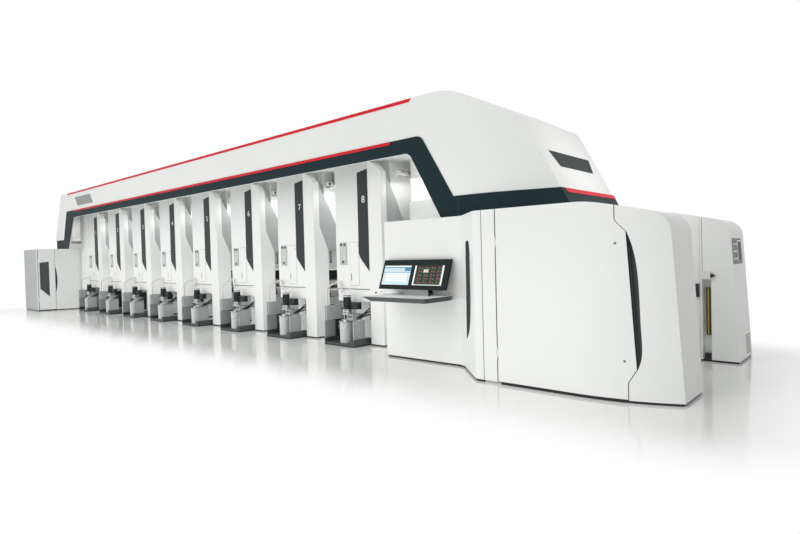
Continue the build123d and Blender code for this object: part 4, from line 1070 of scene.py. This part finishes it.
# Rear rewinder housing. Plain white sheet. Its raked end has a dark panel with white keys and a
# framed pane, and air louvres near the floor.
end_foot_x, end_foot_z = 5.880, 0.03
end_head_x, end_head_z = 5.763, 2.120
end_rake = (end_foot_x - end_head_x) / (end_head_z - end_foot_z)
plate_seat = -0.002
finish_nodes(white_paint, "rear_housing")


def on_end(y, z, out):
    """A point of the raked end face, and a distance out from it."""
    return Vector((last_seam + end_foot_x - (z - end_foot_z) * end_rake + out, y + front_plane, z))


def add_end_plate(shape, y, z, thickness):
    """A thin plate on the raked end, between two depths and two heights."""
    corners = [(y[0], z[0]), (y[1], z[0]), (y[1], z[1]), (y[0], z[1])]
    back, front = ([on_end(*corner, out) for corner in corners] for out in (plate_seat, thickness))
    add_slab(shape, back, front)


panel_thickness = 0.003
panel_grey = sheet_material("panel_grey", (0.1, 0.112, 0.115), 0.4, 0.5)
panel = bmesh.new()
add_end_plate(panel, (1.86, 2.50), (1.48, 1.87), panel_thickness)
single_piece("end_panel", panel, panel_grey)
pane_left, pane_right = 2.24, 2.45
louvre_count = 8
louvre_low, louvre_pitch, louvre_height = 0.09, 0.038, 0.014
panes = bmesh.new()
add_end_plate(panes, (pane_left, pane_right), (1.54, 1.82), thickness=0.005)
for index in range(louvre_count):
    z = louvre_low + index * louvre_pitch
    add_end_plate(panes, (2.32, 2.62), (z, z + louvre_height), thickness=0.0012)
single_piece("end_panes", panes, stripe_grey)
key_columns = key_rows = 3
end_key_y, end_key_z = 1.93, 1.56
end_key_step, end_key_rise = 0.10, 0.11
end_keys = bmesh.new()
for column in range(key_columns):
    for level in range(key_rows):
        seat = on_end(end_key_y + column * end_key_step, end_key_z + level * end_key_rise, panel_thickness)
        add_disc(end_keys, seat, (1, 0, end_rake), radius=0.018, thickness=0.01, sides=16, chamfer=0.003)
frame_low, frame_high = 1.52, 1.84
for y, z in (
    ((2.215, pane_left), (frame_low, frame_high)),
    ((pane_right, 2.475), (frame_low, frame_high)),
    ((pane_left, pane_right), (1.82, frame_high)),
):
    add_end_plate(end_keys, y, z, thickness=0.004)
single_piece("end_keys", end_keys, white_paint)

# Reel bay fittings. Black guide with a yellow strip, white switch box, black knob and lever,
# and a slim cover strip up the face of the rear housing.
guide_near = front_plane + 1.85
box_white = (0.75, 0.76, 0.75)
fitting_dark = sheet_material("fitting_dark", (0.03, 0.033, 0.035), 0.4, 0.55, tone_range=0.3, specular=0.3)
tree, x, y, z = layers_of(fitting_dark)
strip = both(tree, within(tree, z, 0.41, 1.12), above(tree, y, guide_near))
for left, right, colour in ((5.447, 5.461, (0.60, 0.45, 0.02)), (5.468, 5.475, (0.16, 0.08, 0.05))):
    stripe = within(tree, x, last_seam + left, last_seam + right)
    repaint(fitting_dark, both(tree, strip, stripe), colour)
switch_box = both(tree, within(tree, z, 1.24, 1.39), within(tree, x, last_seam + 5.39, last_seam + 5.512))
repaint(fitting_dark, switch_box, box_white)
finish_nodes(fitting_dark, "bay_fittings")
rear_face = front_plane + 1.8
strip_low, strip_high = 0.06, 2.20
strip_left, strip_right = 5.362, 5.390
cover_strip = bmesh.new()
near = (last_seam + strip_left, rear_face - 0.012, strip_low)
far = (last_seam + strip_right, rear_face, strip_high)
add_bar(cover_strip, near, far, round_edge=0.003)
single_piece("rear_cover_strip", cover_strip, white_paint)
seal_width = 0.004
strip_seals = bmesh.new()
for x in (strip_left - seal_width, strip_right):
    near = (last_seam + x, rear_face - 0.006, strip_low)
    far = (last_seam + x + seal_width, rear_face, strip_high)
    add_bar(strip_seals, near, far)
single_piece("rear_strip_seals", strip_seals, rail_grey)
